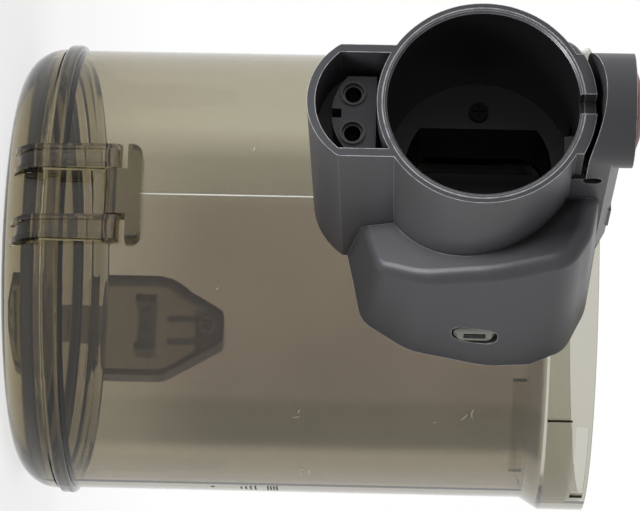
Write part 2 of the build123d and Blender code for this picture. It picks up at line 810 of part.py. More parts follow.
with BuildPart() as latch_lever:
    with BuildSketch(latch_plane(latch_face)):
        latch_outline(0)
    extrude(amount=latch_face - skirt_reach)
    with BuildSketch(latch_plane(latch_back)):
        latch_outline(latch_skirt_wall)
    extrude(amount=latch_back - skirt_reach, mode=Mode.SUBTRACT)
    # thick pad at the tip and two ribs below it
    with BuildSketch(latch_plane(latch_back)):
        with BuildLine():
            Polyline(
                (-latch_tip_half_width - latch_pad_margin, pad_low),
                (latch_tip_half_width + latch_pad_margin, pad_low),
                (latch_tip_half_width - latch_pad_margin / 2, latch_tip - latch_skirt_wall / 2),
                (-latch_tip_half_width + latch_pad_margin / 2, latch_tip - latch_skirt_wall / 2),
                close=True,
            )
        make_face()
        with Locations((-latch_rib_x, rib_middle), (latch_rib_x, rib_middle)):
            Rectangle(latch_rib_wall, 2 * (pad_low - rib_middle) + latch_rib_wall)
    extrude(amount=latch_back - pad_face)
    # hub on the pin, with a web to the plate
    with BuildSketch(side_plane(latch_x + latch_hub_half)):
        with Locations((latch_pivot_reach, latch_pivot_z)):
            Circle(latch_hub_radius)
        with Locations(((latch_pivot_reach + latch_back) / 2 + 0.2, latch_pivot_z)):
            Rectangle(latch_back - latch_pivot_reach + 0.4, 1.6 * latch_hub_radius)
    extrude(amount=-2 * latch_hub_half)
    with BuildSketch(side_plane(latch_x + latch_hub_half)):
        with Locations((latch_pivot_reach, latch_pivot_z)):
            Circle(latch_pin_radius + running_gap)
    extrude(amount=-2 * latch_hub_half, mode=Mode.SUBTRACT)
    # hook that hangs over the lid's catch
    with BuildSketch(side_plane(latch_x + hook_half_width)):
        with BuildLine():
            Polyline(
                (hook_reach, hook_low),
                (hook_reach + hook_wall, hook_low),
                (hook_reach + hook_wall + 0.8, latch_low - 1.0),
                (latch_face, latch_low + 1.2),
                (latch_face, latch_low + latch_skirt_wall),
                (hook_reach, latch_low + latch_skirt_wall),
                close=True,
            )
        make_face()
    extrude(amount=-2 * hook_half_width)
save(latch_lever, "latch_lever")

# ---- neck housing: port tube, contact housing, button boss, bridge and saddle in one moulding ----
with BuildPart() as saddle_body:
    loft(sections=[saddle_outline(0, 0), saddle_outline(0, 1)], ruled=True)
    with BuildSketch(side_plane(2 * saddle_half_width)):
        over_crest(0)
    extrude(amount=-4 * saddle_half_width, mode=Mode.SUBTRACT)
    crest_face = saddle_body.faces().sort_by(Axis.Y)[0]
    fillet(crest_face.edges(), radius=ridge_round)

with BuildPart() as saddle_hollow:
    loft(sections=[saddle_outline(saddle_wall, 0), saddle_outline(saddle_wall, 1)], ruled=True)
    with BuildSketch(side_plane(2 * saddle_half_width)):
        over_crest(saddle_wall)
    extrude(amount=-4 * saddle_half_width, mode=Mode.SUBTRACT)
    # the tube, the contact housing and the bridge run through the hollow
    with BuildSketch(port_plane(saddle_root)):
        Circle(tube_radius)
        dock_outline(dock_half_width, dock_end, dock_corner)
        with Locations((0, saddle_span / 2)):
            Rectangle(2 * bridge_half_width, saddle_span)
    extrude(amount=saddle_crest, mode=Mode.SUBTRACT)

with BuildPart() as bridge:
    with BuildSketch(front_plane(boss_reach)):
        with BuildLine():
            Polyline(
                (-bridge_half_width, port_z),
                (-bridge_half_width, bridge_top - bridge_side_drop),
                (-bridge_crown, bridge_top),
                (bridge_crown, bridge_top),
                (bridge_half_width, bridge_top - bridge_side_drop),
                (bridge_half_width, port_z),
                close=True,
            )
        make_face()
    extrude(amount=-(boss_reach - body_bore))
    with BuildSketch(Plane.XY.offset(port_z)):
        with Locations((0, -boss_reach)):
            Circle(boss_radius)
    extrude(amount=boss_top - port_z)
    # scoop under the front of the boss, round the port
    with BuildSketch(port_plane(boss_reach + 2 * boss_radius)):
        Circle(scoop_radius)
    extrude(amount=-(boss_reach + 2 * boss_radius - crescent_back), mode=Mode.SUBTRACT)
    with BuildSketch(port_plane(crescent_back)):
        Circle(tube_bore)
    extrude(amount=-(crescent_back - saddle_root), mode=Mode.SUBTRACT)

with BuildPart() as neck_housing:
    add(saddle_body.part)
    add(bridge.part)
    with BuildSketch(port_plane(rim_reach)):
        Circle(tube_radius)
        dock_outline(dock_half_width, dock_end, dock_corner)
    extrude(amount=-(rim_reach - saddle_root))
    with BuildSketch(port_plane(rim_reach)) as thick_rim:
        Circle(thick_radius)
        with Locations((0, thick_radius)):
            Rectangle(2 * thick_half_width, 2 * thick_radius, mode=Mode.INTERSECT)
    extrude(amount=-(rim_reach - crescent_back))

    add(body_envelope.part, mode=Mode.SUBTRACT)
    add(saddle_hollow.part, mode=Mode.SUBTRACT)
    with BuildSketch(port_plane(rim_reach)):
        Circle(tube_bore)
    extrude(amount=-rim_reach, mode=Mode.SUBTRACT)

    # notch in the top of the rim
    with BuildSketch(front_plane(rim_reach)):
        with Locations((0, port_z + (thick_radius + tube_radius - notch_below) / 2)):
            Rectangle(2 * notch_half_width, thick_radius - tube_radius + notch_below + 2 * moving_gap)
    extrude(amount=-notch_depth, mode=Mode.SUBTRACT)

    # chamber of the contact housing
    with BuildSketch(port_plane(rim_reach)):
        dock_outline(dock_half_width - dock_wall, dock_end - dock_wall, dock_corner)
        Circle(tube_radius, mode=Mode.SUBTRACT)
    extrude(amount=-(rim_reach - dock_back), mode=Mode.SUBTRACT)

    # slot for the contact strips' arcs
    with BuildSketch(port_plane(strip_y + strip_thickness / 2 + strip_slot_gap)):
        Circle(strip_outer + strip_slot_gap)
        Circle(strip_inner - strip_slot_gap, mode=Mode.SUBTRACT)
    extrude(amount=-(strip_thickness + 2 * strip_slot_gap), mode=Mode.SUBTRACT)

    # pocket of the top terminal
    with BuildSketch(Plane.XY.offset(terminal_low)):
        with Locations((0, -strip_y)):
            Rectangle(2 * terminal_half_width, terminal_length)
    extrude(amount=body_height, mode=Mode.SUBTRACT)

    # button well, slot of the button's foot, cavity of the wand latch
    with BuildSketch(Plane.XY.offset(well_floor_z)):
        with Locations((0, -boss_reach)):
            Circle(button_well_radius)
    extrude(amount=boss_top, mode=Mode.SUBTRACT)
    with BuildSketch(side_plane(cavity_half_width)):
        with BuildLine():
            Polyline(
                (-cavity_front, port_z),
                (-cavity_front, cavity_roof - 1.0),
                (-cavity_front + 1.0, cavity_roof),
                (-cavity_back, cavity_roof),
                (-cavity_back, port_z),
                close=True,
            )
        make_face()
        with Locations((0, port_z)):
            Rectangle(4 * rim_reach, 2 * tube_radius - 0.01, mode=Mode.SUBTRACT)
    extrude(amount=-2 * cavity_half_width, mode=Mode.SUBTRACT)
    with BuildSketch(side_plane(foot_half_width + moving_gap)):
        with BuildLine():
            Polyline(
                (-foot_slot_front, foot_low_z - button_travel - moving_gap),
                (-foot_slot_back, foot_low_z - button_travel - moving_gap),
                (-foot_slot_back, foot_high_z + moving_gap),
                (-foot_slot_front, foot_high_z + moving_gap),
                close=True,
            )
        make_face()
    extrude(amount=-2 * (foot_half_width + moving_gap), mode=Mode.SUBTRACT)

    # window of the latch's nose, seats of its pin and the slit beside it
    with BuildSketch(Plane.XY.offset(port_z)):
        with Locations((0, -(nose_front_reach + moving_gap + cavity_back) / 2)):
            Rectangle(2 * cavity_half_width, nose_front_reach + moving_gap - cavity_back)
    extrude(amount=tube_radius + 1, mode=Mode.SUBTRACT)
    with BuildSketch(side_plane(rocker_pin_half + seat_gap)):
        with Locations((-rocker_pin_reach, rocker_pin_z)):
            Circle(rocker_pin_radius + seat_gap)
    extrude(amount=-2 * (rocker_pin_half + seat_gap), mode=Mode.SUBTRACT)
    with BuildSketch(side_plane(bridge_half_width)):
        with Locations((-slit_reach, slit_z)):
            SlotOverall(slit_length, slit_width, rotation=90)
    extrude(amount=-slit_depth, mode=Mode.SUBTRACT)

    # snap windows in both flanks of the saddle
    for side in (-1, 1):
        with BuildSketch(side_plane(side * saddle_half_width)):
            with Locations((-window_reach, window_z)):
                RectangleRounded(window_width, window_length, window_corner)
        extrude(amount=-side * (saddle_half_width - strip_outer - strip_slot_gap), mode=Mode.SUBTRACT)
save(neck_housing, "neck_housing")

# ---- port sleeve: liner of the bore with its ledge, half-moon wall, throat and flange ----
with BuildPart() as port_sleeve:
    with BuildSketch(port_plane(rim_reach)):
        Circle(sleeve_outer)
        Circle(bore_radius, mode=Mode.SUBTRACT)
    extrude(amount=-(rim_reach - ledge_back))
    with BuildSketch(port_plane(rim_reach - land_length)):
        Circle(bore_radius + relief)
    extrude(amount=-(bore_depth - land_length), mode=Mode.SUBTRACT)
    with BuildSketch(port_plane(ledge_reach)):
        Circle(sleeve_outer)
        Circle(throat_radius, mode=Mode.SUBTRACT)
    extrude(amount=-ledge_thickness)
    with BuildSketch(port_plane(ledge_reach)):
        Circle(throat_outer)
        Circle(throat_radius, mode=Mode.SUBTRACT)
    extrude(amount=-(ledge_reach - throat_end))
    with BuildSketch(port_plane(flange_end)):
        Circle(duct_outer)
        Circle(throat_radius, mode=Mode.SUBTRACT)
    extrude(amount=-flange_thickness)
    with BuildSketch(port_plane(ledge_reach)):
        Circle(throat_radius + throat_wall / 2)
        with Locations((baffle_x + 2 * throat_radius, 0)):
            Rectangle(4 * throat_radius, 4 * throat_radius, mode=Mode.SUBTRACT)
    extrude(amount=-ledge_thickness)
    with BuildSketch(port_plane(ledge_reach)):
        Circle(throat_radius + throat_wall / 2)
        with Locations((baffle_x - baffle_thickness / 2, 0)):
            Rectangle(baffle_thickness, 4 * throat_radius, mode=Mode.INTERSECT)
    extrude(amount=-(ledge_reach - throat_end))
    with BuildSketch(port_plane(ledge_reach)):
        with Locations((post_x, 0)):
            Circle(screw_radius + 0.15)
    extrude(amount=-ledge_thickness, mode=Mode.SUBTRACT)
    # notch in the rim and window of the wand latch's nose
    with BuildSketch(front_plane(rim_reach)):
        with Locations((0, port_z + bore_radius)):
            Rectangle(2 * notch_half_width, bore_radius)
    extrude(amount=-notch_depth, mode=Mode.SUBTRACT)
    with BuildSketch(Plane.XY.offset(port_z)):
        with Locations((0, -(nose_front_reach + moving_gap + cavity_back) / 2)):
            Rectangle(2 * cavity_half_width, nose_front_reach + moving_gap - cavity_back)
    extrude(amount=tube_radius, mode=Mode.SUBTRACT)
    mouth_edge = port_sleeve.faces().sort_by(Axis.Y)[0].edges().filter_by(GeomType.CIRCLE)
    chamfer(mouth_edge.sort_by(SortBy.RADIUS)[0], length=rim_chamfer)
save(port_sleeve, "port_sleeve")

# ---- gasket between the sleeve's flange and the duct spigot ----
with BuildPart() as duct_gasket:
    with BuildSketch(port_plane(gasket_end - seat_gap)):
        Circle(duct_outer)
        Circle(throat_outer + seat_gap, mode=Mode.SUBTRACT)
    extrude(amount=-(gasket_thickness - 2 * seat_gap))
save(duct_gasket, "duct_gasket")

# ---- screw that holds the sleeve to the canister's post ----
with BuildPart() as sleeve_screw:
    with BuildSketch(port_plane(ledge_reach + seat_gap)):
        with Locations((post_x, 0)):
            Circle(screw_head_radius)
    extrude(amount=screw_head_height)
    with BuildSketch(port_plane(ledge_reach + seat_gap)):
        with Locations((post_x, 0)):
            Circle(0.8 * screw_radius - seat_gap)
    extrude(amount=-(screw_length - 1))
    with BuildSketch(port_plane(ledge_reach + seat_gap + screw_head_height)):
        with Locations((post_x, 0)):
            Rectangle(0.5, 1.3 * screw_head_radius)
            Rectangle(1.3 * screw_head_radius, 0.5)
    extrude(amount=-0.6 * screw_head_height, mode=Mode.SUBTRACT)
save(sleeve_screw, "sleeve_screw")

# ---- inlet flap, its pin and its spring ----
with BuildPart() as inlet_flap:
    with BuildSketch(port_plane(flap_face)):
        d_outline(throat_radius + flap_lap, baffle_x - flap_lap)
    extrude(amount=-flap_thickness)
    with BuildSketch(Plane.XY.offset(flap_hub_low)):
        with Locations((flap_pin_x, -flap_pin_reach)):
            Circle(flap_hub_radius)
        with Locations(((flap_pin_x + baffle_x) / 2, -(flap_face + flap_back) / 2)):
            Rectangle(baffle_x - flap_pin_x, flap_thickness)
        with Locations((flap_pin_x, -flap_pin_reach)):
            Circle(flap_pin_radius + running_gap, mode=Mode.SUBTRACT)
    extrude(amount=flap_hub_length)
save(inlet_flap, "inlet_flap")

with BuildPart() as flap_pin:
    with BuildSketch(Plane.XY.offset(flap_ear_low - flap_ear_wall)):
        with Locations((flap_pin_x, -flap_pin_reach)):
            Circle(flap_pin_radius)
    extrude(amount=flap_ear_high + flap_ear_wall - flap_ear_low + flap_ear_wall)
save(flap_pin, "flap_pin")


def coil(name, centre, axis_plane, radius, wire, length):
    """Spring drawn as the closed tube that its turns fill."""
    with BuildPart() as turns:
        with BuildSketch(axis_plane):
            with Locations(centre):
                Circle(radius)
                Circle(radius - wire, mode=Mode.SUBTRACT)
        extrude(amount=length)
    save(turns, name)


coil(
    "flap_spring",
    (flap_pin_x, -flap_pin_reach),
    Plane.XY.offset(flap_hub_high + moving_gap),
    flap_hub_radius,
    flap_hub_radius - flap_pin_radius - seat_gap,
    flap_spring_length,
)

# ---- socket block in the contact housing, with two contacts ----
with BuildPart() as socket_block:
    with BuildSketch(port_plane(block_face)):
        with BuildLine():
            Polyline(
                (-block_half_width, -block_corner),
                (-block_half_width, -block_top),
                (block_half_width, -block_top),
                (block_half_width, -block_corner),
            )
            ThreePointArc(
                (block_half_width, -block_corner),
                (0, -block_end),
                (-block_half_width, -block_corner),
            )
        make_face()
        with Locations((0, -block_end)):
            Rectangle(key_width, 2 * key_width, mode=Mode.SUBTRACT)
        with Locations((-socket_x, -socket_z), (socket_x, -socket_z)):
            Circle(contact_outer + seat_gap, mode=Mode.SUBTRACT)
    extrude(amount=-block_length)
    with BuildSketch(port_plane(block_face)):
        with Locations((-socket_x, -socket_z), (socket_x, -socket_z)):
            Circle(collar_lip_radius)
            Circle(contact_outer + seat_gap, mode=Mode.SUBTRACT)
    extrude(amount=collar_rise)
    # mounting flange that fills the chamber behind the block's face
    with BuildSketch(port_plane(block_face - 0.5 * block_length)):
        dock_outline(
            dock_half_width - dock_wall - seat_gap, dock_end - dock_wall - seat_gap, dock_corner
        )
        Circle(tube_radius + seat_gap, mode=Mode.SUBTRACT)
        with Locations((-socket_x, -socket_z), (socket_x, -socket_z)):
            Circle(contact_outer + seat_gap, mode=Mode.SUBTRACT)
    extrude(amount=-0.2 * block_length)
save(socket_block, "socket_block")

for side, name in ((-1, "left_contact"), (1, "right_contact")):
    with BuildPart() as contact:
        with BuildSketch(port_plane(contact_face)):
            with Locations((side * socket_x, -socket_z)):
                Circle(contact_outer)
        extrude(amount=-contact_length)
        with BuildSketch(port_plane(contact_face)):
            with Locations((side * socket_x, -socket_z)):
                Circle(socket_radius)
        extrude(amount=-socket_depth, mode=Mode.SUBTRACT)
    save(contact, name)

# ---- contact strips that run round the port tube to the terminal on top ----
for side, name in ((-1, "left_strip"), (1, "right_strip")):
    with BuildPart() as strip:
        with BuildSketch(port_plane(strip_y + strip_thickness / 2)) as strip_face:
            low = (
                strip_middle * cos(radians(strip_low_angle)),
                -strip_middle * sin(radians(strip_low_angle)),
            )
            high = (blade_x, strip_middle * sin(radians(strip_high_angle)))
            with BuildLine() as arc_line:
                CenterArc((0, 0), strip_inner, -strip_low_angle, strip_low_angle + strip_high_angle)
                CenterArc((0, 0), strip_outer, -strip_low_angle, strip_low_angle + strip_high_angle)
                Line(arc_line.edges()[0] @ 0, arc_line.edges()[1] @ 0)
                Line(arc_line.edges()[0] @ 1, arc_line.edges()[1] @ 1)
            make_face()
            with BuildLine():
                Polyline(
                    (low[0] + 0.6, low[1] + 0.2),
                    (low[0] - 0.7, low[1] + 0.4),
                    (socket_x - strip_bar_width / 2, -socket_z + strip_bar_height / 2),
                    (socket_x - strip_bar_width / 2, -socket_z - strip_bar_height / 2),
                    (socket_x + strip_bar_width / 2, -socket_z - strip_bar_height / 2),
                    close=True,
                )
            make_face()
            with Locations((blade_x, (high[1] + bridge_top - port_z) / 2)):
                Rectangle(blade_width, bridge_top - port_z - high[1] + 0.6)
        extrude(amount=-strip_thickness)
        with BuildSketch(port_plane(contact_back)):
            with Locations((socket_x, -socket_z)):
                Rectangle(strip_bar_width, strip_bar_height)
        extrude(amount=-(contact_back - strip_y))
        if side < 0:
            mirror(about=Plane.YZ, mode=Mode.REPLACE)
    save(strip, name)

# ---- terminal block on top ----
with BuildPart() as terminal_block:
    with BuildSketch(Plane.XY.offset(terminal_low + seat_gap)):
        with Locations((0, -strip_y)):
            Rectangle(2 * (terminal_half_width - seat_gap), terminal_length - 2 * seat_gap)
        with Locations((-blade_x, -strip_y), (blade_x, -strip_y)):
            Rectangle(blade_width + 2 * seat_gap, strip_thickness + 2 * seat_gap, mode=Mode.SUBTRACT)
    extrude(amount=bridge_top + terminal_rise - terminal_low - seat_gap)
    # well round each blade
    with BuildSketch(Plane.XY.offset(bridge_top + terminal_rise)):
        with Locations((-blade_x, -strip_y), (blade_x, -strip_y)):
            Rectangle(blade_width + 2 * blade_well_side, strip_thickness + 2 * blade_well_front)
    extrude(amount=-blade_well_depth, mode=Mode.SUBTRACT)
save(terminal_block, "terminal_block")

# ---- release button and its spring ----
with BuildPart() as release_button:
    with BuildSketch(Plane.XY.offset(button_low)):
        with Locations((0, -boss_reach)):
            Circle(button_radius)
    extrude(amount=button_top - button_dome - button_low)
    with BuildSketch(Plane.YZ.offset(0)):
        with BuildLine():
            ThreePointArc(
                (-boss_reach, button_top),
                (-boss_reach + 0.72 * button_radius, button_top - 0.34 * button_dome),
                (-boss_reach + button_radius, button_top - button_dome),
            )
            Polyline(
                (-boss_reach + button_radius, button_top - button_dome),
                (-boss_reach + button_radius, button_top - 2 * button_dome),
                (-boss_reach, button_top - 2 * button_dome),
                (-boss_reach, button_top),
            )
        make_face()
    revolve(axis=Axis((0, -boss_reach, 0), (0, 0, 1)))
    with BuildSketch(Plane.XY.offset(button_low)):
        with Locations((0, -boss_reach)):
            Circle(button_radius - button_wall)
    extrude(amount=button_top - button_wall - button_dome - button_low, mode=Mode.SUBTRACT)
    # foot that reaches back over the wand latch
    with BuildSketch(Plane.XY.offset(foot_low_z)):
        foot_start = boss_reach - button_radius + button_wall
        with Locations((0, -(foot_start + foot_end_reach) / 2)):
            Rectangle(2 * foot_half_width, foot_start - foot_end_reach)
    extrude(amount=foot_thickness)
save(release_button, "release_button")

coil(
    "button_spring",
    (0, -boss_reach),
    Plane.XY.offset(well_floor_z + seat_gap),
    button_spring_radius,
    spring_wire,
    button_top - button_wall - button_dome - well_floor_z - 2 * seat_gap,
)

# ---- wand latch: rocker whose nose drops into the wand's socket ----
with BuildPart() as wand_latch:
    with BuildSketch(side_plane(rocker_half_width)):
        with BuildLine():
            Polyline(
                (-rocker_front_reach, rocker_front_low),
                (-rocker_front_reach, rocker_front_high),
                (-rocker_back_reach, rocker_back_high),
                (-rocker_back_reach, port_z + nose_radius + 1.2),
                (-rocker_back_reach - 1.4, port_z + nose_radius),
                (-nose_front_reach + 0.6, port_z + nose_radius),
                (-nose_front_reach, port_z + nose_radius + 2.6),
                (-nose_front_reach, rocker_front_low),
                close=True,
            )
        make_face()
        with Locations((-rocker_pin_reach, rocker_pin_z)):
            Circle(rocker_hub_radius)
            Circle(rocker_pin_radius + running_gap, mode=Mode.SUBTRACT)
    extrude(amount=-2 * rocker_half_width)
save(wand_latch, "wand_latch")

coil(
    "rocker_spring",
    (-rocker_pin_reach, rocker_pin_z),
    side_plane(rocker_half_width + moving_gap),
    rocker_hub_radius - 0.2,
    rocker_hub_radius - 0.2 - rocker_pin_radius - seat_gap,
    rocker_spring_length,
)

# ---- spring of the latch lever, between the canister and the lever's tip ----
with BuildPart() as lever_spring:
    with BuildSketch(latch_plane(pad_face - seat_gap)):
        with Locations((0, lever_spring_z)):
            Circle(lever_spring_radius)
            Circle(lever_spring_radius - spring_wire, mode=Mode.SUBTRACT)
    extrude(amount=pad_face - body_radius - 2 * seat_gap)
save(lever_spring, "lever_spring")
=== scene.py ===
"""Clear dust canister of a stick vacuum: finishes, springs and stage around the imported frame."""

import json
import math

import bpy
from mathutils import Matrix, Vector


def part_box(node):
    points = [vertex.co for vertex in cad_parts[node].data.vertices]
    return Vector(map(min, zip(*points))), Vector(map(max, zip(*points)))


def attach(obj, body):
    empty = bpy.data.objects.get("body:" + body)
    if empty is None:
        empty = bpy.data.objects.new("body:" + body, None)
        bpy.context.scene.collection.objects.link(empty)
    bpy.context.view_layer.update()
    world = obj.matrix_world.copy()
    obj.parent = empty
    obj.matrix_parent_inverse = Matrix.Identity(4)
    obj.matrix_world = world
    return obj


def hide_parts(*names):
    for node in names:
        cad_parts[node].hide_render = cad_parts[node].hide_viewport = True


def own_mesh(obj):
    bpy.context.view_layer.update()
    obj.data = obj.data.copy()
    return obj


bl_info = {
    "name": "Clear Dust Canister",
    "version": (1, 0, 0),
    "blender": (4, 5, 0),
    "location": "3D View > Sidebar > Canister",
    "description": "Dresses a smoky clear dust canister, its neck and its springs around a packed frame",
    "category": "Object",
}

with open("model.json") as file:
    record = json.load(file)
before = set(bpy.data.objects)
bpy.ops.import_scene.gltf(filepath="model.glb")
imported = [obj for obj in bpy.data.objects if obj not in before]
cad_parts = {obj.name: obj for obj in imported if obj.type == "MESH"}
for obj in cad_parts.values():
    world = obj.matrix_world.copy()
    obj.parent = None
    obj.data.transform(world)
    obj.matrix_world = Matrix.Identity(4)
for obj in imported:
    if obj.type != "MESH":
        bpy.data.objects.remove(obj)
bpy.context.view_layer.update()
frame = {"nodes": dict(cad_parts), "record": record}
MM = 0.001
UP = Vector((0, 0, 1))
WHITE = (1.0, 1.0, 1.0, 1.0)
SLEEVE_LOW, SLEEVE_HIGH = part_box("port_sleeve")
RIM_FRONT = SLEEVE_LOW[1] / MM
PORT_HEIGHT = (SLEEVE_LOW[2] + SLEEVE_HIGH[2]) / 2 / MM

MASK_SAMPLES = 6  # rays that the masks of edges and creases take

# Places on the finished pieces, in millimetres.
WALL_SHADE_FOOT, WALL_SHADE_FULL = 14.0, 50.0  # the painted shade on the wall deepens between these heights
COLLAR_HEIGHT = 121.5  # the collar's even grey, painted as shade, starts here
DUCT_RADIUS = 20.3  # radius of the duct's mouth, round the port's axis
DUCT_FRONT, DUCT_BACK = -62.0, -38.0  # the duct's mouth, along Y
LEVER_FACE = 2.0  # depth of the lever's paler face
HUB_LEFT, HUB_RIGHT, HUB_TOP = -13.0, 8.0, 27.75  # the lever's hub, as pale as its face
PAINTED_RING = 0.7  # depth of the painted ring at the port's front
SLOT_EDGE = 0.03  # the painted shade of a tab's slot reaches this far past its walls

# Modelling.
SMOOTH_ANGLE = math.radians(35)
WELD = 1e-6  # points nearer than this are one
WIRE_SIDES, WIRE_STEPS = 10, 20  # sides of a spring's wire, and steps in one turn
PRESS_EASE = 0.0002  # a pressed lever spring ends this far short of the lever
RAY_REACH = 0.2  # rays to the wall start this far from its axis
CORNER_SHARE = 0.3  # a plate's rounding, as a share of its least side
PLATE_LIFT = 0.35  # a plate's middle stands off the wall by this share of its thickness
FIBRE_LIFT = 0.2  # the same for a fibre, as a share of its width
FIBRE_SIDES, FIBRE_PARTS = 6, 8
FIBRE_FLATNESS = 0.6  # a fibre's thickness, as a share of its width
FIBRE_MIDDLE, FIBRE_THINNING = 1.1, 0.6  # a fibre's width at its middle, and how much its ends lose
TAB_GAP = 0.0007  # the flank is felt for this far beside a tab
TAB_RAY = 0.07  # rays to the flanks start this far from the middle
TAB_ROOT = 0.0018  # the wall's own tab is felt for this far in front of a tab's middle
TAB_SLOPE = 0.75  # height of a tab's chamfer, as a share of its width
TAB_FLOOR = 0.0004  # plastic left under a tab's slot
TAB_ROUND = 0.00008  # rounding of a tab's edges

# The level marks: each run's bars, first height, step up, first width and step in width.
MARK_RUNS = ((4, 0.0530, 0.0011, 0.0022, 0.0007), (4, 0.0592, 0.0007, 0.0042, 0.0))
MARK_BEARING, MARK_HEIGHT = 94.0, 0.0004
DOT_BEARING, DOT_HEIGHT, DOT_SIZE = 93.0, 0.0463, 0.0009
SEAM_BEARING, SEAM_START = -1.0, 0.0045  # the seam starts this far above the lid
# The fibres: bearing in degrees, height, length, turn in radians and bow.
FIBRES = (
    (78.0, 0.0668, 0.0021, 0.4, 0.0003),
    (80.5, 0.0680, 0.0024, -1.0, 0.0002),
    (79.0, 0.0690, 0.0020, 1.5, 0.0002),
    (56.0, 0.0665, 0.0017, 0.2, 0.0003),
    (54.5, 0.0672, 0.0012, 1.2, -0.0002),
    (55.0, 0.1040, 0.0022, 0.9, 0.0002),
    (54.0, 0.1060, 0.0026, 1.5, -0.0003),
    (57.0, 0.0975, 0.0005, 0.0, 0.0),
    (-14.0, 0.0560, 0.0010, 1.3, 0.0001),
    (22.0, 0.0490, 0.0008, 0.5, 0.0001),
)

# The stage: each lamp's size, place and aim in metres, and the camera's lens, place and axes.
KEY_LAMP = (0.6, (-1.05, -0.50, 0.10), (0.0, -0.06, 0.10))
RIM_LAMP = (1.0, (0.35, 0.5, 0.75), (0.0, 0.0, 0.07))
LOW_LAMP = (0.04, (0.026, -0.150, 0.008), (0.018, -0.073, 0.085))
FLOOR_SIDES, FLOOR_DEPTH = 96, 0.0004
GLOW_NEAR, GLOW_FAR, GLOW_LEAST = 60.0, 420.0, 0.72  # the floor glows more between these distances
SENSOR_WIDTH, LENS = 36.0, 159.56  # in millimetres
CAMERA_PLACE = (0.207957, -0.642521, 0.090182)
CAMERA_RIGHT = Vector((-0.02836, 0.02224, 0.99935))
CAMERA_DOWN = Vector((0.94905, 0.31449, 0.01993))
CAMERA_AHEAD = Vector((-0.31384, 0.94900, -0.03003))


# ---- shader maths -----------------------------------------------------------------------


class Socket:
    """A node's output that takes part in arithmetic, so that shader maths reads as plain expressions."""

    def __init__(self, shading, output):
        self.shading = shading
        self.output = output

    def maths(self, operation, *values):
        return self.shading.node("ShaderNodeMath", {"operation": operation}, *values).out("Value")

    def __add__(self, other):
        return self.maths("ADD", self, other)

    def __radd__(self, other):
        return self.maths("ADD", other, self)

    def __sub__(self, other):
        return self.maths("SUBTRACT", self, other)

    def __rsub__(self, other):
        return self.maths("SUBTRACT", other, self)

    def __mul__(self, other):
        return self.maths("MULTIPLY", self, other)

    def __rmul__(self, other):
        return self.maths("MULTIPLY", other, self)

    def __truediv__(self, other):
        return self.maths("DIVIDE", self, other)

    def __rtruediv__(self, other):
        return self.maths("DIVIDE", other, self)

    def __pow__(self, other):
        return self.maths("POWER", self, other)

    def __rpow__(self, other):
        return self.maths("POWER", other, self)

    def most(self, other):
        """The greater of the two."""
        return self.maths("MAXIMUM", self, other)


class Node:
    """A made node, whose outputs are read by name."""

    def __init__(self, shading, node):
        self.shading = shading
        self.node = node

    def out(self, name):
        for output in self.node.outputs:
            if output.enabled and name in (output.name, output.identifier):
                return Socket(self.shading, output)
        raise KeyError(f"{self.node.bl_idname} has no output {name}")


class Shading:
    """A node tree, and the one way to add a node to it."""

    def __init__(self, tree):
        self.tree = tree

    def node(self, kind, settings=None, *values, **named):
        """Makes a node: its settings first, then its sockets in order or by name."""
        made = self.tree.nodes.new(kind)
        for key, value in (settings or {}).items():
            if key == "stops":
                elements = made.color_ramp.elements
                while len(elements) < len(value):
                    elements.new(0.5)
                for element, (position, tint) in zip(elements, value):
                    element.position = position
                    element.color = tint
            else:
                setattr(made, key, value)
        sockets = [socket for socket in made.inputs if socket.enabled]
        for socket, value in zip(sockets, values):
            self.feed(socket, value)
        for key, value in named.items():
            socket = next(s for s in sockets if key in (s.identifier, s.name.replace(" ", "_")))
            self.feed(socket, value)
        return Node(self, made)

    def feed(self, socket, value):
        """Links an output to a socket, or sets the socket's value."""
        if isinstance(value, Socket):
            self.tree.links.new(value.output, socket)
        else:
            socket.default_value = value

    def straight_rays(self):
        """1 for rays that see the backdrop straight, in a mirror or through a clear wall."""
        path = self.node("ShaderNodeLightPath")
        straight, mirrored, through = (
            path.out(name) for name in ("Is Camera Ray", "Is Glossy Ray", "Is Transmission Ray")
        )
        return straight.most(mirrored).most(through)


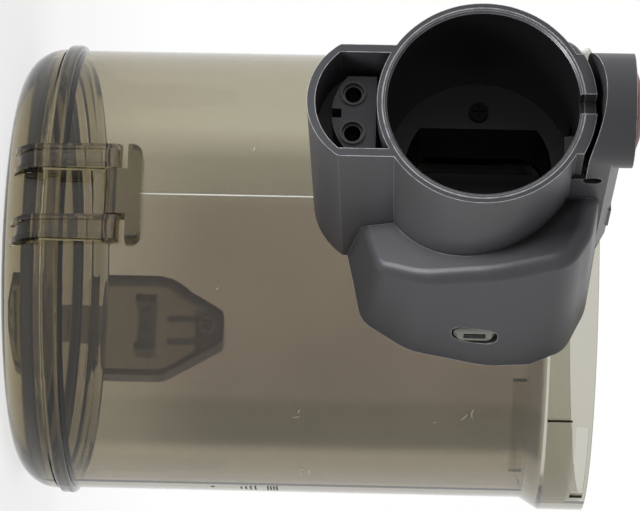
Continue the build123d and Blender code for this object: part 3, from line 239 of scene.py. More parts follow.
class Finish(Shading):
    """One procedural material and the nodes that make it."""

    def __init__(self, name):
        self.material = bpy.data.materials.new(name)
        self.material.use_nodes = True
        super().__init__(self.material.node_tree)
        self.shader = self.tree.nodes["Principled BSDF"]

    def set(self, **sockets):
        """Sets or links the shader's own sockets."""
        for key, value in sockets.items():
            self.feed(self.shader.inputs[key.replace("_", " ")], value)

    def end(self, name, value):
        """Links one of the material's outputs."""
        self.feed(self.tree.nodes["Material Output"].inputs[name], value)

    def place(self, scale=(1, 1, 1)):
        """Object coordinates in millimetres, stretched for a pattern."""
        point = self.node("ShaderNodeTexCoord").out("Object")
        stretch = tuple(part / MM for part in scale)
        return self.node("ShaderNodeMapping", None, Vector=point, Scale=stretch).out("Vector")

    def noise(self, point, scale, detail=3.0, roughness=0.5):
        """Noise between 0 and 1, its scale in features to the millimetre."""
        return self.node(
            "ShaderNodeTexNoise", None, Vector=point, Scale=scale, Detail=detail, Roughness=roughness
        ).out("Fac")

    def parts_of(self, point):
        parts = self.node("ShaderNodeSeparateXYZ", None, point)
        return parts.out("X"), parts.out("Y"), parts.out("Z")

    def between(self, value, low, high, start=0.0, end=1.0):
        """start below low, end above high, and a smooth step between."""
        return self.node(
            "ShaderNodeMapRange", {"interpolation_type": "SMOOTHSTEP"}, value, low, high, start, end
        ).out("Result")

    def past(self, value, limit, soft):
        """1 where the value is past the limit, with a soft step round it."""
        return self.between(value, limit - soft, limit + soft)

    def within(self, value, low, high, soft):
        """1 where the value lies between low and high, with soft steps at both ends."""
        return self.past(value, low, soft) * (1 - self.past(value, high, soft))

    def blend(self, mask, first, second):
        """The first colour where the mask is 0, and the second where it is 1."""
        return self.node(
            "ShaderNodeMix", {"data_type": "RGBA"}, Factor_Float=mask, A_Color=first, B_Color=second
        ).out("Result_Color")

    def bump(self, height, distance, strength=1.0):
        """A normal that leans with a height pattern as deep as the distance, in millimetres."""
        return self.node(
            "ShaderNodeBump", None, Height=height, Distance=distance * MM, Strength=strength
        ).out("Normal")

    def edges(self, radius, low=0.01, high=0.16):
        """1 along sharp edges and 0 on flat faces: how far a rounded normal leans off the true one."""
        settings = {"samples": MASK_SAMPLES}
        rounded = self.node("ShaderNodeBevel", settings, Radius=radius * MM).out("Normal")
        true = self.node("ShaderNodeNewGeometry").out("Normal")
        along = self.node("ShaderNodeVectorMath", {"operation": "DOT_PRODUCT"}, rounded, true)
        return self.between(1 - along.out("Value"), low, high)

    def open_air(self, reach, low=0.45, high=0.95):
        """1 on open faces and 0 down in creases and recesses."""
        settings = {"samples": MASK_SAMPLES, "only_local": True}
        openness = self.node("ShaderNodeAmbientOcclusion", settings, Distance=reach * MM).out("AO")
        return self.between(openness, low, high)

    def bearing(self, x, y):
        """Turns round the canister's axis, from -0.5 to 0.5: 0 at the front, 0.25 at +X."""
        return x.maths("ARCTAN2", x, 0 - y) / (2 * math.pi)

    def absorb(self, tint, density):
        """Makes the body of a clear plastic take light with depth."""
        body = self.node("ShaderNodeVolumeAbsorption", None, Color=tint, Density=density)
        self.end("Volume", body.out("Volume"))


# ---- colours and sizes ------------------------------------------------------------------


def colour(name, description, default):
    return bpy.props.FloatVectorProperty(
        name=name, description=description, subtype="COLOR", size=3, min=0.0, max=1.0, default=default
    )


def length(name, description, default):
    return bpy.props.FloatProperty(
        name=name, description=description, subtype="DISTANCE", unit="LENGTH", default=default, min=0.0
    )


def amount(name, description, default, unit="NONE"):
    return bpy.props.FloatProperty(
        name=name, description=description, default=default, min=0.0, unit=unit
    )


class CanisterColours(bpy.types.PropertyGroup):
    """Colours of the canister's finishes."""

    smoke: colour("Smoke", "Colour that the clear plastic's body lets through", (0.45, 0.41, 0.21))
    clear: colour("Clear", "Surface tint of the lid and its pins", (0.90, 0.855, 0.81))
    # Painted light and shade in bands round the clear wall: pale at the back, brown at the front, olive
    # where it is deepest.
    pale: colour("Pale cast", "Cast of the clear wall round the back", (0.97, 0.96, 0.94))
    brown: colour("Brown cast", "Cast of the clear wall round the front", (0.37, 0.31, 0.275))
    olive: colour("Olive cast", "Deepest cast of the clear wall", (0.185, 0.17, 0.13))
    # An even grey painted over the collar, as shade.
    collar: colour("Collar", "Tint of the wall's flared collar", (0.80, 0.805, 0.81))
    # Black painted on the wall inside the duct's mouth, as shade.
    duct: colour("Duct", "Dark of the wall inside the duct's mouth", (0.01, 0.01, 0.01))
    lever: colour("Lever", "Tint of the latch lever's face", (0.47, 0.435, 0.38))
    # The lever's skirt, ribs and pad are painted darker, as shade.
    lever_rim: colour("Lever rim", "Tint of the latch lever's skirt, ribs and pad", (0.07, 0.058, 0.042))
    seal: colour("Seal", "Colour of the lid's seal and the gasket", (0.008, 0.009, 0.012))
    paint: colour("Neck paint", "Metallic paint of the neck", (0.050, 0.050, 0.054))
    flake: colour("Paint flake", "Fine bright flake in the neck's paint", (0.11, 0.115, 0.13))
    # Painted highlight along the neck's open edges, in patches.
    worn: colour("Worn edge", "Neck paint where its edges are rubbed bright", (0.55, 0.56, 0.58))
    liner: colour("Liner", "Black plastic inside the port", (0.006, 0.006, 0.007))
    # Painted highlight along the liner's edges.
    liner_worn: colour("Rubbed liner", "Black plastic where its edges are rubbed", (0.09, 0.09, 0.095))
    socket: colour("Socket block", "Plastic of the socket block", (0.040, 0.041, 0.046))
    button: colour("Button", "Colour of the release button", (0.085, 0.005, 0.004))
    steel: colour("Steel", "Pins, screw and springs", (0.60, 0.58, 0.55))
    brass: colour("Brass", "Strips that carry the current", (0.55, 0.42, 0.22))
    # The contacts are painted dark, as the shade down in their sockets.
    tarnish: colour("Tarnish", "Dulled metal of the contacts", (0.10, 0.095, 0.09))
    tab: colour("Tab", "Smoky plastic of the window tabs", (0.10, 0.097, 0.072))
    tab_streak: colour("Tab streak", "Paler streaks in the window tabs", (0.15, 0.142, 0.118))
    # A tab's slot is painted near black, as shade.
    tab_slot: colour("Tab slot", "Dark of the slot in a window tab", (0.004, 0.004, 0.003))
    mark: colour("Marks", "Ink of the level marks", (0.02, 0.02, 0.02))
    # This colour is also the painted highlight along the window tabs' edges.
    lint: colour("Lint", "Pale fibres that cling to the wall", (0.80, 0.78, 0.72))
    floor: colour("Floor", "Colour of the floor", (0.92, 0.92, 0.92))


class CanisterSizes(bpy.types.PropertyGroup):
    """Sizes of the small pieces on the wall."""

    mark_thickness: length("Mark thickness", "How far a level mark stands off the wall", 0.00006)
    seam_width: length("Seam width", "Width of the moulding seam down the front", 0.0003)
    seam_height: length("Seam height", "How far the moulding seam stands off the wall", 0.00012)
    fibre_width: length("Fibre width", "Thickness of a clinging fibre", 0.00014)
    tab_reach: length("Tab reach", "Middle of a window tab, in front of the canister's axis", 0.0536)
    tab_above: length("Tab height", "Middle of a window tab, above the port's axis", 0.0002)
    tab_length: length("Tab length", "Length of a window tab", 0.0092)
    tab_width: length("Tab width", "Width of a window tab", 0.0059)
    tab_corner: length("Tab corner", "Corner radius of a window tab", 0.0024)
    tab_chamfer: length("Tab chamfer", "Chamfer round a window tab", 0.0009)
    tab_proud: length("Tab proud", "How far a tab stands past the saddle's flank", 0.0001)
    tab_slot_length: length("Slot length", "Length of the slot in a window tab", 0.0048)
    tab_slot_width: length("Slot width", "Width of the slot in a window tab", 0.0022)


class CanisterStage(bpy.types.PropertyGroup):
    """Floor and light."""

    floor_size: length("Floor", "Width of the floor", 6.0)
    sky: amount("Sky", "Strength of the even light", 0.42)
    key: amount("Key", "Power of the large lamp", 22.0, "POWER")
    low: amount("Low", "Power of the low lamp", 0.13, "POWER")
    rim: amount("Rim", "Power of the far lamp", 4.0, "POWER")


# ---- finishes ---------------------------------------------------------------------------


def shade(tint, share=1.0):
    """A colour with full alpha, made darker or brighter by a share."""
    return (*(min(1.0, share * part) for part in tint), 1.0)


def wall_painted_bands(colours):
    """Painted light and shade in bands round the clear wall: bearings in degrees, 0 at the front and 90
    at +X, and colours.
    """
    brown, olive, pale = colours.brown, colours.olive, colours.pale
    return (
        (-70, shade(pale)),
        (-21, (0.94, 0.93, 0.91, 1.0)),
        (-11, (0.47, 0.45, 0.41, 1.0)),
        (-1, (0.40, 0.38, 0.34, 1.0)),
        (1, shade(brown)),
        (30, shade(brown, 0.8)),
        (50, shade(brown, 0.72)),
        (53, shade(olive)),
        (66, shade(olive)),
        (70, (0.50, 0.46, 0.42, 1.0)),
        (100, (0.70, 0.66, 0.63, 1.0)),
        (120, shade(pale)),
    )


def wall_tint(finish, point, colours):
    """The wall's tint: painted light and shade in bands round it, deeper upwards, an even grey painted
    over the collar as shade, and black painted inside the duct's mouth as shade.
    """
    x, y, z = finish.parts_of(point)
    # Painted light and shade in bands by bearing, deepening upwards from the clear tint.
    stops = [(bearing / 360 + 0.5, tint) for bearing, tint in wall_painted_bands(colours)]
    painted_bands = finish.node("ShaderNodeValToRGB", {"stops": stops}, finish.bearing(x, y) + 0.5).out("Color")
    haze = finish.noise(point, scale=0.03)
    painted_shade_share = finish.between(z, WALL_SHADE_FOOT, WALL_SHADE_FULL, start=0.55)
    tint = finish.blend(painted_shade_share * (0.88 + 0.2 * haze), shade(colours.clear), painted_bands)
    # The collar is painted an even grey, as shade.
    tint = finish.blend(finish.past(z, COLLAR_HEIGHT, soft=0.5), tint, shade(colours.collar))
    # The wall inside the duct's mouth is painted black, as shade.
    off_axis = (x * x + (z - PORT_HEIGHT) ** 2) ** 0.5
    duct = 1 - finish.past(off_axis, DUCT_RADIUS, soft=0.7)
    duct *= finish.within(y, DUCT_FRONT, DUCT_BACK, soft=1.0)
    return finish.blend(duct, tint, shade(colours.duct))


def lever_tint(finish, point, colours):
    """The lever's tint: its skirt, ribs and pad painted darker than its face and hub, as shade."""
    x, y, z = finish.parts_of(point)
    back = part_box("latch_lever")[1][1] / MM
    behind = 1 - finish.past(y, back - LEVER_FACE, soft=0.1)
    hub = finish.within(x, HUB_LEFT, HUB_RIGHT, soft=0.3) * (1 - finish.past(z, HUB_TOP, soft=0.25))
    # Painted shade on the skirt, ribs and pad; the face and hub keep the lighter tint.
    return finish.blend(behind * (1 - hub), shade(colours.lever), shade(colours.lever_rim))


def smoke_finish(name, colours, tint_of=None):
    """Smoky clear plastic, deeper where it is thick, with fine scuffs. tint_of makes its surface tint."""
    finish = Finish(name)
    point = finish.place()
    scuff = finish.noise(finish.place(scale=(1.0, 1.0, 0.12)), scale=1.4, detail=4.0, roughness=0.7)
    finish.set(
        Base_Color=tint_of(finish, point, colours) if tint_of else shade(colours.clear),
        Roughness=0.01 + 0.02 * finish.between(scuff, 0.72, 0.85),
        IOR=1.49,
        Transmission_Weight=1.0,
        Normal=finish.bump(finish.noise(point, scale=0.05, detail=1.0), distance=0.02, strength=0.15),
    )
    finish.absorb(shade(colours.smoke), density=330.0)
    return finish.material


def seal_finish(colours):
    """Soft black seal rubber with a faint bloom."""
    finish = Finish("seal_rubber")
    point = finish.place()
    bloom = finish.noise(point, scale=0.35, detail=4.0)
    finish.set(
        Base_Color=finish.blend(bloom, shade(colours.seal), shade(colours.seal, 2.2)),
        Roughness=0.45 + 0.2 * bloom,
        Normal=finish.bump(finish.noise(point, scale=3.0), distance=0.02, strength=0.4),
    )
    return finish.material


def paint_tint(finish, point, colours, drift, flake):
    """Metallic paint: drifting tone, very fine flake, painted shade in creases and a patchy painted
    highlight along open edges.
    """
    bright = finish.between(flake, 0.5, 0.85) * 0.55 + drift * 0.12
    tint = finish.blend(bright, shade(colours.paint), shade(colours.flake))
    # Painted shade: the paint darkens down in creases and recesses.
    outer = finish.open_air(reach=3.0)
    patchy = finish.between(finish.noise(point, scale=0.5), 0.2, 0.6, start=0.35)
    tint = finish.blend(outer, shade(colours.paint, 0.45), tint)
    # Painted highlight along open edges, in patches.
    return finish.blend(finish.edges(radius=0.3) * outer * patchy, tint, shade(colours.worn))


def paint_patterns(finish, point):
    """The paint's slow drift and its fine flake."""
    return finish.noise(point, scale=0.05), finish.noise(point, scale=6.0, detail=2.0, roughness=0.8)


def paint_finish(colours):
    """Dark grey metallic paint with a satin sheen."""
    finish = Finish("neck_paint")
    point = finish.place()
    drift, flake = paint_patterns(finish, point)
    finish.set(
        Base_Color=paint_tint(finish, point, colours, drift, flake),
        Metallic=0.35,
        Roughness=0.36 + 0.08 * drift,
        Specular_IOR_Level=0.25,
        Normal=finish.bump(flake, distance=0.008, strength=0.35),
    )
    return finish.material


def liner_finish(colours):
    """Black moulded liner with a painted highlight along its edges, whose front ring wears the neck's
    paint.
    """
    finish = Finish("liner_black")
    point = finish.place()
    ring = 1 - finish.past(finish.parts_of(point)[1], RIM_FRONT + PAINTED_RING, soft=0.2)
    painted = paint_tint(finish, point, colours, *paint_patterns(finish, point))
    grain = finish.noise(point, scale=1.6, detail=4.0)
    # Painted highlight along edges, in patches.
    lit_edges = finish.edges(radius=0.25) * finish.between(grain, 0.35, 0.6, start=0.3)
    black = finish.blend(lit_edges, shade(colours.liner), shade(colours.liner_worn))
    finish.set(
        Base_Color=finish.blend(ring, black, painted),
        Metallic=0.3 * ring,
        Roughness=0.30 + 0.12 * grain,
        Normal=finish.bump(grain, distance=0.02, strength=0.5),
    )
    return finish.material


def moulded_finish(name, tint, grain_size, grain_depth):
    """Plain moulded plastic with a spark-eroded grain and a painted highlight along its edges."""
    finish = Finish(name)
    point = finish.place()
    grain = finish.noise(point, scale=grain_size, detail=4.0)
    body = finish.blend(finish.noise(point, scale=0.08), shade(tint, 0.8), shade(tint, 1.25))
    finish.set(
        # Painted highlight along edges.
        Base_Color=finish.blend(finish.edges(radius=0.25) * 0.8, body, shade(tint, 2.6)),
        Roughness=0.42 + 0.12 * grain,
        Normal=finish.bump(grain, distance=grain_depth, strength=0.6),
    )
    return finish.material


def metal_finish(name, tint, roughness):
    """Drawn or stamped metal with fine lines and a little tarnish."""
    finish = Finish(name)
    lines = finish.noise(finish.place(scale=(0.3, 6.0, 0.3)), scale=1.0)
    tarnish = finish.noise(finish.place(), scale=0.5, detail=4.0)
    finish.set(
        Base_Color=finish.blend(tarnish, shade(tint), shade(tint, 0.55)),
        Metallic=1.0,
        Roughness=roughness + 0.15 * lines,
        Normal=finish.bump(lines, distance=0.01, strength=0.4),
    )
    return finish.material


def tab_finish(colours, sizes):
    """Smoky plastic seen against its own dark back, with a painted highlight along the edges of its
    facets and a slot painted dark as shade.
    """
    finish = Finish("tab_plastic")
    point = finish.place()
    streak = finish.noise(finish.place(scale=(1.0, 1.0, 0.3)), scale=0.9)
    tint = finish.blend(streak, shade(colours.tab), shade(colours.tab_streak))
    y, z = finish.parts_of(point)[1:]
    front, height = -sizes.tab_reach / MM, PORT_HEIGHT + sizes.tab_above / MM
    wide = sizes.tab_slot_width / MM / 2 + SLOT_EDGE
    tall = sizes.tab_slot_length / MM / 2 + SLOT_EDGE
    slot = finish.within(y, front - wide, front + wide, soft=0.02)
    slot *= finish.within(z, height - tall, height + tall, soft=0.02)
    # Painted shade down in the slot.
    tint = finish.blend(slot, tint, shade(colours.tab_slot))
    finish.set(
        # Painted highlight along the edges, in the lint's pale colour.
        Base_Color=finish.blend(finish.edges(radius=0.15) * 0.7, tint, shade(colours.lint)),
        Roughness=0.22 + 0.15 * streak,
        Coat_Weight=0.3,
        Normal=finish.bump(finish.noise(point, scale=0.8), distance=0.03, strength=0.4),
    )
    return finish.material


def ink_finish(name, tint, roughness):
    """Pad-printed ink, a flash of plastic or clinging lint, a little uneven."""
    finish = Finish(name)
    wear = finish.noise(finish.place(), scale=2.5, detail=4.0, roughness=0.7)
    finish.set(
        Base_Color=finish.blend(wear, shade(tint, 0.7), shade(tint, 1.3)),
        Roughness=roughness + 0.2 * wear,
    )
    return finish.material


def dress(names, material):
    """Gives CAD nodes a finish."""
    for name in names:
        for slot in frame["nodes"][name].material_slots:
            slot.material = material


# ---- modelling --------------------------------------------------------------------------


def frame_joint(name):
    """A joint's entry in the record."""
    return next(joint for joint in frame["record"]["behaviour"]["joints"] if joint["name"] == name)


def deselect():
    """Leaves edit mode and selects nothing."""
    if bpy.context.object and bpy.context.object.mode != "OBJECT":
        bpy.ops.object.mode_set(mode="OBJECT")
    bpy.ops.object.select_all(action="DESELECT")


def pick(piece):
    """Makes a piece the only one selected."""
    deselect()
    piece.select_set(True)
    bpy.context.view_layer.objects.active = piece


def settle(piece):
    """Puts a piece's place into its mesh, so that its object sits at the origin."""
    pick(piece)
    bpy.ops.object.transform_apply(location=True, rotation=True, scale=True)


def block(size):
    """A block round the origin, to be shaped further."""
    deselect()
    bpy.ops.mesh.primitive_cube_add(size=1, location=(0, 0, 0))
    piece = bpy.context.object
    piece.scale = size
    settle(piece)
    return piece


def modify(piece, name, kind, **settings):
    """Adds a modifier and applies it."""
    modifier = piece.modifiers.new(name, kind)
    for key, value in settings.items():
        setattr(modifier, key, value)
    bpy.context.view_layer.objects.active = piece
    bpy.ops.object.modifier_apply(modifier=modifier.name)


def face_outwards():
    """Turns all faces of the active piece outwards."""
    bpy.ops.object.mode_set(mode="EDIT")
    bpy.ops.mesh.select_all(action="SELECT")
    bpy.ops.mesh.normals_make_consistent(inside=False)
    bpy.ops.object.mode_set(mode="OBJECT")


def finish_piece(piece, name, body, material):
    """Names, smooths and dresses a made piece, and lets it ride."""
    piece.name = name
    pick(piece)
    bpy.ops.object.shade_smooth_by_angle(angle=SMOOTH_ANGLE)
    piece.data.materials.clear()
    piece.data.materials.append(material)
    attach(piece, body)


def finish_wall_piece(piece, name, material):
    """Finishes a piece that belongs to the clear wall."""
    finish_piece(piece, name, "canister", material)


def coil(node, axis, wire, turns, material):
    """A coil spring in a node's place: a wire circle wound up the node's axis, its ends closed."""
    low, high = (Vector(corner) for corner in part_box(node))
    span, middle = high - low, (low + high) / 2
    along = Vector(axis)
    run = abs(span.dot(along))
    radius = min(span[i] for i in range(3) if not along[i]) / 2
    steps = round(WIRE_STEPS * turns)
    deselect()
    bpy.ops.mesh.primitive_circle_add(
        vertices=WIRE_SIDES,
        radius=wire / 2,
        location=(radius - wire / 2, 0, wire / 2),
        rotation=(math.pi / 2, 0, 0),
    )
    piece = bpy.context.object
    settle(piece)
    modify(
        piece,
        "winding",
        "SCREW",
        axis="Z",
        angle=2 * math.pi * turns,
        screw_offset=run - wire,
        steps=steps,
        render_steps=steps,
        iterations=1,
        use_merge_vertices=False,
    )
    bpy.ops.object.mode_set(mode="EDIT")
    bpy.ops.mesh.select_all(action="SELECT")
    bpy.ops.mesh.remove_doubles(threshold=WELD)
    bpy.ops.mesh.fill_holes(sides=0)
    face_outwards()
    piece.rotation_mode = "QUATERNION"
    piece.rotation_quaternion = UP.rotation_difference(along)
    piece.location = middle - along * run / 2
    settle(piece)
    finish_piece(piece, node + "_coil", "canister", material)
    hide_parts(node)
    return piece


def lay(piece, bearing, height, lift, roll=0.0):
    """Lays a piece on the outer wall, its X round the wall, its Y up and its Z outwards.

    The bearing is in degrees, 0 at the front and 90 at +X; the roll is in radians."""
    turn = math.radians(bearing)
    out = Vector((math.sin(turn), -math.cos(turn), 0.0))
    place = frame["nodes"]["canister_shell"].ray_cast(out * RAY_REACH + UP * height, -out)[1]
    upright = Matrix((UP.cross(out), UP, out)).transposed().to_4x4()
    piece.matrix_world = Matrix.Translation(place + out * lift) @ upright @ Matrix.Rotation(roll, 4, "Z")
    settle(piece)


def plate(bearing, height, width, tall, thickness):
    """A thin plate on the wall, with rounded edges."""
    piece = block((width, tall, thickness))
    modify(piece, "corners", "BEVEL", width=min(width, tall, thickness) * CORNER_SHARE, segments=2)
    lay(piece, bearing, height, thickness * PLATE_LIFT)
    return piece


def fibre(bearing, height, run, roll, bow, width):
    """A clinging fibre: a rod divided along its length, bowed, flattened and thinned at its ends."""
    deselect()
    bpy.ops.mesh.primitive_cylinder_add(
        vertices=FIBRE_SIDES, radius=width / 2, depth=run, rotation=(math.pi / 2, 0, 0)
    )
    piece = bpy.context.object
    settle(piece)
    bpy.ops.object.mode_set(mode="EDIT")
    for part in range(1, FIBRE_PARTS):
        bpy.ops.mesh.select_all(action="SELECT")
        bpy.ops.mesh.bisect(plane_co=(0, run * (part / FIBRE_PARTS - 0.5), 0), plane_no=(0, 1, 0))
    bpy.ops.object.mode_set(mode="OBJECT")
    for vertex in piece.data.vertices:
        share = 2 * vertex.co.y / run
        thin = FIBRE_MIDDLE - FIBRE_THINNING * abs(share)
        vertex.co.x = vertex.co.x * thin + bow * (1 - share * share)
        vertex.co.z *= FIBRE_FLATNESS
    lay(piece, bearing, height, width * FIBRE_LIFT, roll)
    return piece


def edit_parts(piece, mode, parts, wanted):
    """Enters edit mode with only the wanted edges or faces of a piece selected."""
    bpy.ops.object.mode_set(mode="EDIT")
    bpy.ops.mesh.select_mode(type=mode)
    bpy.ops.mesh.select_all(action="DESELECT")
    bpy.ops.object.mode_set(mode="OBJECT")
    for part in getattr(piece.data, parts):
        part.select = wanted(part)
    bpy.ops.object.mode_set(mode="EDIT")


def flank(node, side, forward, height):
    """How far out a node's surface lies on one side, at a distance in front of the axis and a height."""
    start = Vector((side * TAB_RAY, -forward, height))
    return frame["nodes"][node].ray_cast(start, Vector((-side, 0, 0)))[1].x * side


def tab_face(side, sizes):
    """The tab's outer end in its window: a rounded block, chamfered round its face, with a slot in it."""
    height = PORT_HEIGHT * MM + sizes.tab_above
    beside = sizes.tab_width / 2 + TAB_GAP
    inner = flank("canister_shell", side, sizes.tab_reach + TAB_ROOT, height)
    near = flank("neck_housing", side, sizes.tab_reach + beside, height)
    far = flank("neck_housing", side, sizes.tab_reach - beside, height)
    outer = (near + far) / 2 + sizes.tab_proud
    slope = (far - near) / (2 * beside)
    rise = sizes.tab_chamfer * TAB_SLOPE
    piece = block((outer - inner, sizes.tab_width, sizes.tab_length))

    def runs_out(edge):
        one, two = (piece.data.vertices[i].co.x for i in edge.vertices)
        return abs(one - two) > WELD

    # Round the corners, then raise a smaller face over a chamfer.
    edit_parts(piece, "EDGE", "edges", runs_out)
    bpy.ops.mesh.bevel(offset=sizes.tab_corner, segments=6, affect="EDGES")
    edit_parts(piece, "FACE", "polygons", lambda face: face.normal.x > 0.9)
    bpy.ops.mesh.inset(thickness=sizes.tab_chamfer)
    bpy.ops.transform.translate(value=(rise, 0, 0))
    bpy.ops.object.mode_set(mode="OBJECT")
    piece.location.x -= rise
    settle(piece)
    # Lean the face as the flank beside it leans.
    for vertex in piece.data.vertices:
        if vertex.co.x > 0:
            vertex.co.x += slope * vertex.co.y
    # Cut the slot, and break all edges.
    slot = block((2 * (outer - inner - TAB_FLOOR), sizes.tab_slot_width, sizes.tab_slot_length))
    slot.location.x = (outer - inner) / 2
    settle(slot)
    modify(piece, "slot", "BOOLEAN", operation="DIFFERENCE", solver="EXACT", object=slot)
    bpy.data.objects.remove(slot)
    modify(piece, "edges", "BEVEL", width=TAB_ROUND, segments=2, limit_method="ANGLE")
    # Put it in its window, mirrored on the left side.
    piece.scale.x = side
    piece.location = (side * (outer + inner) / 2, -sizes.tab_reach, height)
    settle(piece)
    face_outwards()
    return piece


def join(pieces):
    """Makes one piece of several."""
    deselect()
    for piece in pieces:
        piece.select_set(True)
    bpy.context.view_layer.objects.active = pieces[0]
    bpy.ops.object.join()
    return pieces[0]


# ---- operators --------------------------------------------------------------------------


class CANISTER_OT_clear_parts(bpy.types.Operator):
    """Finish the clear walls, the lid, the latch lever and their pins"""

    bl_idname = "canister.clear_parts"
    bl_label = "Clear parts"

    def execute(self, context):
        colours = context.scene.canister_colours
        dress(["canister_shell"], smoke_finish("smoke_wall", colours, wall_tint))
        dress(["latch_lever"], smoke_finish("smoke_lever", colours, lever_tint))
        dress(["lid_cover", "hinge_pin", "latch_pin"], smoke_finish("smoke_clear", colours))
        return {"FINISHED"}


class CANISTER_OT_seals(bpy.types.Operator):
    """Finish the lid's seal and the duct's gasket"""

    bl_idname = "canister.seals"
    bl_label = "Seals"

    def execute(self, context):
        dress(["lid_seal", "duct_gasket"], seal_finish(context.scene.canister_colours))
        return {"FINISHED"}


class CANISTER_OT_neck(bpy.types.Operator):
    """Finish the neck's housing"""

    bl_idname = "canister.neck"
    bl_label = "Neck"

    def execute(self, context):
        dress(["neck_housing"], paint_finish(context.scene.canister_colours))
        return {"FINISHED"}


class CANISTER_OT_port(bpy.types.Operator):
    """Finish the port's sleeve, the flap, the wand latch, the socket block and the top terminal"""

    bl_idname = "canister.port"
    bl_label = "Port"

    def execute(self, context):
        colours = context.scene.canister_colours
        plastic = moulded_finish("socket_plastic", colours.socket, grain_size=2.4, grain_depth=0.03)
        dress(["port_sleeve", "inlet_flap", "wand_latch"], liner_finish(colours))
        dress(["socket_block", "terminal_block"], plastic)
        return {"FINISHED"}


class CANISTER_OT_button(bpy.types.Operator):
    """Finish the release button"""

    bl_idname = "canister.button"
    bl_label = "Release button"

    def execute(self, context):
        red = context.scene.canister_colours.button
        dress(["release_button"], moulded_finish("button_red", red, grain_size=2.0, grain_depth=0.008))
        return {"FINISHED"}


class CANISTER_OT_metal(bpy.types.Operator):
    """Finish the pins, the screw, the contacts and the strips"""

    bl_idname = "canister.metal"
    bl_label = "Metal parts"

    def execute(self, context):
        colours = context.scene.canister_colours
        dress(["rocker_pin"], metal_finish("pin_steel", colours.steel, 0.22))
        dress(["flap_pin", "sleeve_screw"], metal_finish("black_steel", colours.mark, 0.4))
        # The contacts are painted dark, as shade in their sockets.
        dress(["left_contact", "right_contact"], metal_finish("contact_metal", colours.tarnish, 0.3))
        dress(["left_strip", "right_strip"], metal_finish("strip_brass", colours.brass, 0.26))
        return {"FINISHED"}


class CANISTER_OT_springs(bpy.types.Operator):
    """Wind the coil springs of the lever, the button, the rocker and the flap"""

    bl_idname = "canister.springs"
    bl_label = "Springs"

    def execute(self, context):
        steel = metal_finish("spring_steel", context.scene.canister_colours.steel, roughness=0.24)
        lever = coil("lever_spring", axis=(0, -1, 0), wire=0.0005, turns=5.0, material=steel)
        button = coil("button_spring", axis=(0, 0, 1), wire=0.0006, turns=3.5, material=steel)
        coil("rocker_spring", axis=(1, 0, 0), wire=0.0003, turns=4.5, material=steel)
        coil("flap_spring", axis=(0, 0, 1), wire=0.0004, turns=6.0, material=steel)
        pin = frame_joint("lever_hinge")
        low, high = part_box("lever_spring")
        reach = high[2] - pin["pos_m"][2]
        press = reach * math.sin(math.radians(pin["range_deg"][1])) + PRESS_EASE
        1 - press / (high[1] - low[1])
        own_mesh(lever)
        low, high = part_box("button_spring")
        press = frame_joint("button_slide")["range_m"][1]
        1 - press / (high[2] - low[2])
        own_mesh(button)
        return {"FINISHED"}


class CANISTER_OT_window_tabs(bpy.types.Operator):
    """Fill the snap windows in the saddle's flanks with the wall's moulded tabs"""

    bl_idname = "canister.window_tabs"
    bl_label = "Window tabs"

    def execute(self, context):
        sizes = context.scene.canister_sizes
        material = tab_finish(context.scene.canister_colours, sizes)
        for side, name in ((1, "right_tab_face"), (-1, "left_tab_face")):
            finish_wall_piece(tab_face(side, sizes), name, material)
        return {"FINISHED"}


class CANISTER_OT_marks(bpy.types.Operator):
    """Print the level marks, raise the moulding seam and lay a few clinging fibres on the wall"""

    bl_idname = "canister.marks"
    bl_label = "Wall marks"

    def execute(self, context):
        colours, sizes = context.scene.canister_colours, context.scene.canister_sizes
        thin = sizes.mark_thickness
        bars = [
            plate(MARK_BEARING, foot + rise * i, width + growth * i, MARK_HEIGHT, thin)
            for count, foot, rise, width, growth in MARK_RUNS
            for i in range(count)
        ]
        bars.append(plate(DOT_BEARING, DOT_HEIGHT, DOT_SIZE, DOT_SIZE, thin))
        finish_wall_piece(join(bars), "level_marks", ink_finish("mark_ink", colours.mark, roughness=0.5))
        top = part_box("neck_housing")[0][2]
        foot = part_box("lid_cover")[1][2] + SEAM_START
        seam = plate(SEAM_BEARING, (foot + top) / 2, sizes.seam_width, top - foot, sizes.seam_height)
        finish_wall_piece(seam, "moulding_seam", ink_finish("seam_plastic", colours.lint, roughness=0.25))
        lint = join([fibre(*lie, sizes.fibre_width) for lie in FIBRES])
        finish_wall_piece(lint, "clinging_fibres", ink_finish("lint_pale", colours.lint, roughness=0.7))
        return {"FINISHED"}


# ---- stage ------------------------------------------------------------------------------


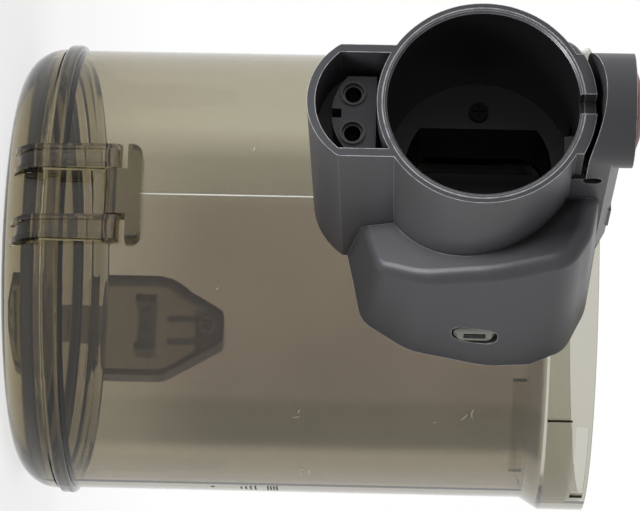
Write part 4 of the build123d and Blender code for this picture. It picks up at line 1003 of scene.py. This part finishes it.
class CANISTER_OT_stage(bpy.types.Operator):
    """Make the floor, the backdrop, the lamps and the camera"""

    bl_idname = "canister.stage"
    bl_label = "Stage"

    def execute(self, context):
        settings = context.scene.canister_stage
        self.make_sky(context, settings)
        self.make_floor(context, settings)
        self.make_lamps(settings)
        self.make_camera(context)
        context.scene.view_settings.view_transform = "Standard"
        return {"FINISHED"}

    def make_sky(self, context, settings):
        """An even light that shows as white."""
        world = bpy.data.worlds.new("studio")
        world.use_nodes = True
        context.scene.world = world
        world.node_tree.nodes.clear()
        sky = Shading(world.node_tree)
        even, seen = (
            sky.node("ShaderNodeBackground", None, Color=WHITE, Strength=level).out("Background")
            for level in (settings.sky, 1.0)
        )
        mixed = sky.node("ShaderNodeMixShader", None, sky.straight_rays(), even, seen).out("Shader")
        sky.node("ShaderNodeOutputWorld", None, Surface=mixed)

    def make_floor(self, context, settings):
        """A pale disk that fades into the white backdrop."""
        deselect()
        bpy.ops.mesh.primitive_circle_add(
            vertices=FLOOR_SIDES,
            radius=settings.floor_size / 2,
            fill_type="NGON",
            location=(0, 0, -FLOOR_DEPTH),
        )
        floor = bpy.context.object
        floor.name = "studio_floor"
        finish = Finish("floor_pale")
        pale = shade(context.scene.canister_colours.floor)
        matt = finish.node("ShaderNodeBsdfDiffuse", None, Color=pale).out("BSDF")
        glow = finish.node("ShaderNodeEmission", None, Color=WHITE, Strength=1.0).out("Emission")
        away = finish.node("ShaderNodeVectorMath", {"operation": "LENGTH"}, finish.place()).out("Value")
        fade = finish.between(away, GLOW_NEAR, GLOW_FAR, start=GLOW_LEAST) * finish.straight_rays()
        finish.end("Surface", finish.node("ShaderNodeMixShader", None, fade, matt, glow).out("Shader"))
        floor.data.materials.append(finish.material)

    def make_lamps(self, settings):
        """Large lamps, kept out of the clear walls' reflections, and a low one for the paint alone."""
        large = (("key_lamp", settings.key, KEY_LAMP), ("rim_lamp", settings.rim, RIM_LAMP))
        for name, power, lamp in large:
            holder = self.lamp(name, power, *lamp)
            holder.visible_glossy = False
            holder.visible_transmission = False
        painted = bpy.data.collections.new("painted_parts")
        for node in ("neck_housing", "port_sleeve"):
            painted.objects.link(frame["nodes"][node])
        low = self.lamp("low_lamp", settings.low, *LOW_LAMP)
        low.light_linking.receiver_collection = painted

    def lamp(self, name, power, size, place, aim):
        """A round area lamp aimed at a point."""
        lamp = bpy.data.lights.new(name, "AREA")
        lamp.energy = power
        lamp.shape = "DISK"
        lamp.size = size
        holder = bpy.data.objects.new(name, lamp)
        bpy.context.scene.collection.objects.link(holder)
        holder.location = place
        holder.rotation_euler = (Vector(aim) - Vector(place)).to_track_quat("-Z", "Y").to_euler()
        holder.visible_camera = False
        return holder

    def make_camera(self, context):
        """A long lens that looks along the neck, with the canister lying on its side."""
        lens = bpy.data.cameras.new("studio_camera")
        lens.sensor_fit = "HORIZONTAL"
        lens.sensor_width = SENSOR_WIDTH
        lens.lens = LENS
        camera = bpy.data.objects.new("studio_camera", lens)
        context.scene.collection.objects.link(camera)
        turn = Matrix((CAMERA_RIGHT, -CAMERA_DOWN, -CAMERA_AHEAD)).transposed()
        camera.matrix_world = Matrix.Translation(CAMERA_PLACE) @ turn.to_4x4()
        context.scene.camera = camera


class CANISTER_PT_panel(bpy.types.Panel):
    """Lists the canister's pieces, colours and sizes in the sidebar."""

    bl_idname = "CANISTER_PT_panel"
    bl_label = "Clear Dust Canister"
    bl_space_type = "VIEW_3D"
    bl_region_type = "UI"
    bl_category = "Canister"

    def draw(self, context):
        for operator in OPERATORS:
            self.layout.operator(operator.bl_idname)
        for settings in (getattr(context.scene, name) for name in GROUPS):
            for name in settings.bl_rna.properties.keys():
                if name not in ("rna_type", "name"):
                    self.layout.prop(settings, name)


OPERATORS = (
    CANISTER_OT_stage,
    CANISTER_OT_clear_parts,
    CANISTER_OT_seals,
    CANISTER_OT_neck,
    CANISTER_OT_port,
    CANISTER_OT_button,
    CANISTER_OT_metal,
    CANISTER_OT_springs,
    CANISTER_OT_window_tabs,
    CANISTER_OT_marks,
)
GROUPS = {
    "canister_colours": CanisterColours,
    "canister_sizes": CanisterSizes,
    "canister_stage": CanisterStage,
}


def register():
    for item in (*GROUPS.values(), *OPERATORS, CANISTER_PT_panel):
        bpy.utils.register_class(item)
    for name, group in GROUPS.items():
        setattr(bpy.types.Scene, name, bpy.props.PointerProperty(type=group))


def unregister():
    for name in GROUPS:
        delattr(bpy.types.Scene, name)
    for item in (CANISTER_PT_panel, *reversed(OPERATORS), *reversed(GROUPS.values())):
        bpy.utils.unregister_class(item)


def main():
    register()
    bpy.ops.canister.stage()
    bpy.ops.canister.clear_parts()
    bpy.ops.canister.seals()
    bpy.ops.canister.neck()
    bpy.ops.canister.port()
    bpy.ops.canister.button()
    bpy.ops.canister.metal()
    bpy.ops.canister.springs()
    bpy.ops.canister.window_tabs()
    bpy.ops.canister.marks()


if __name__ == "__main__":
    main()
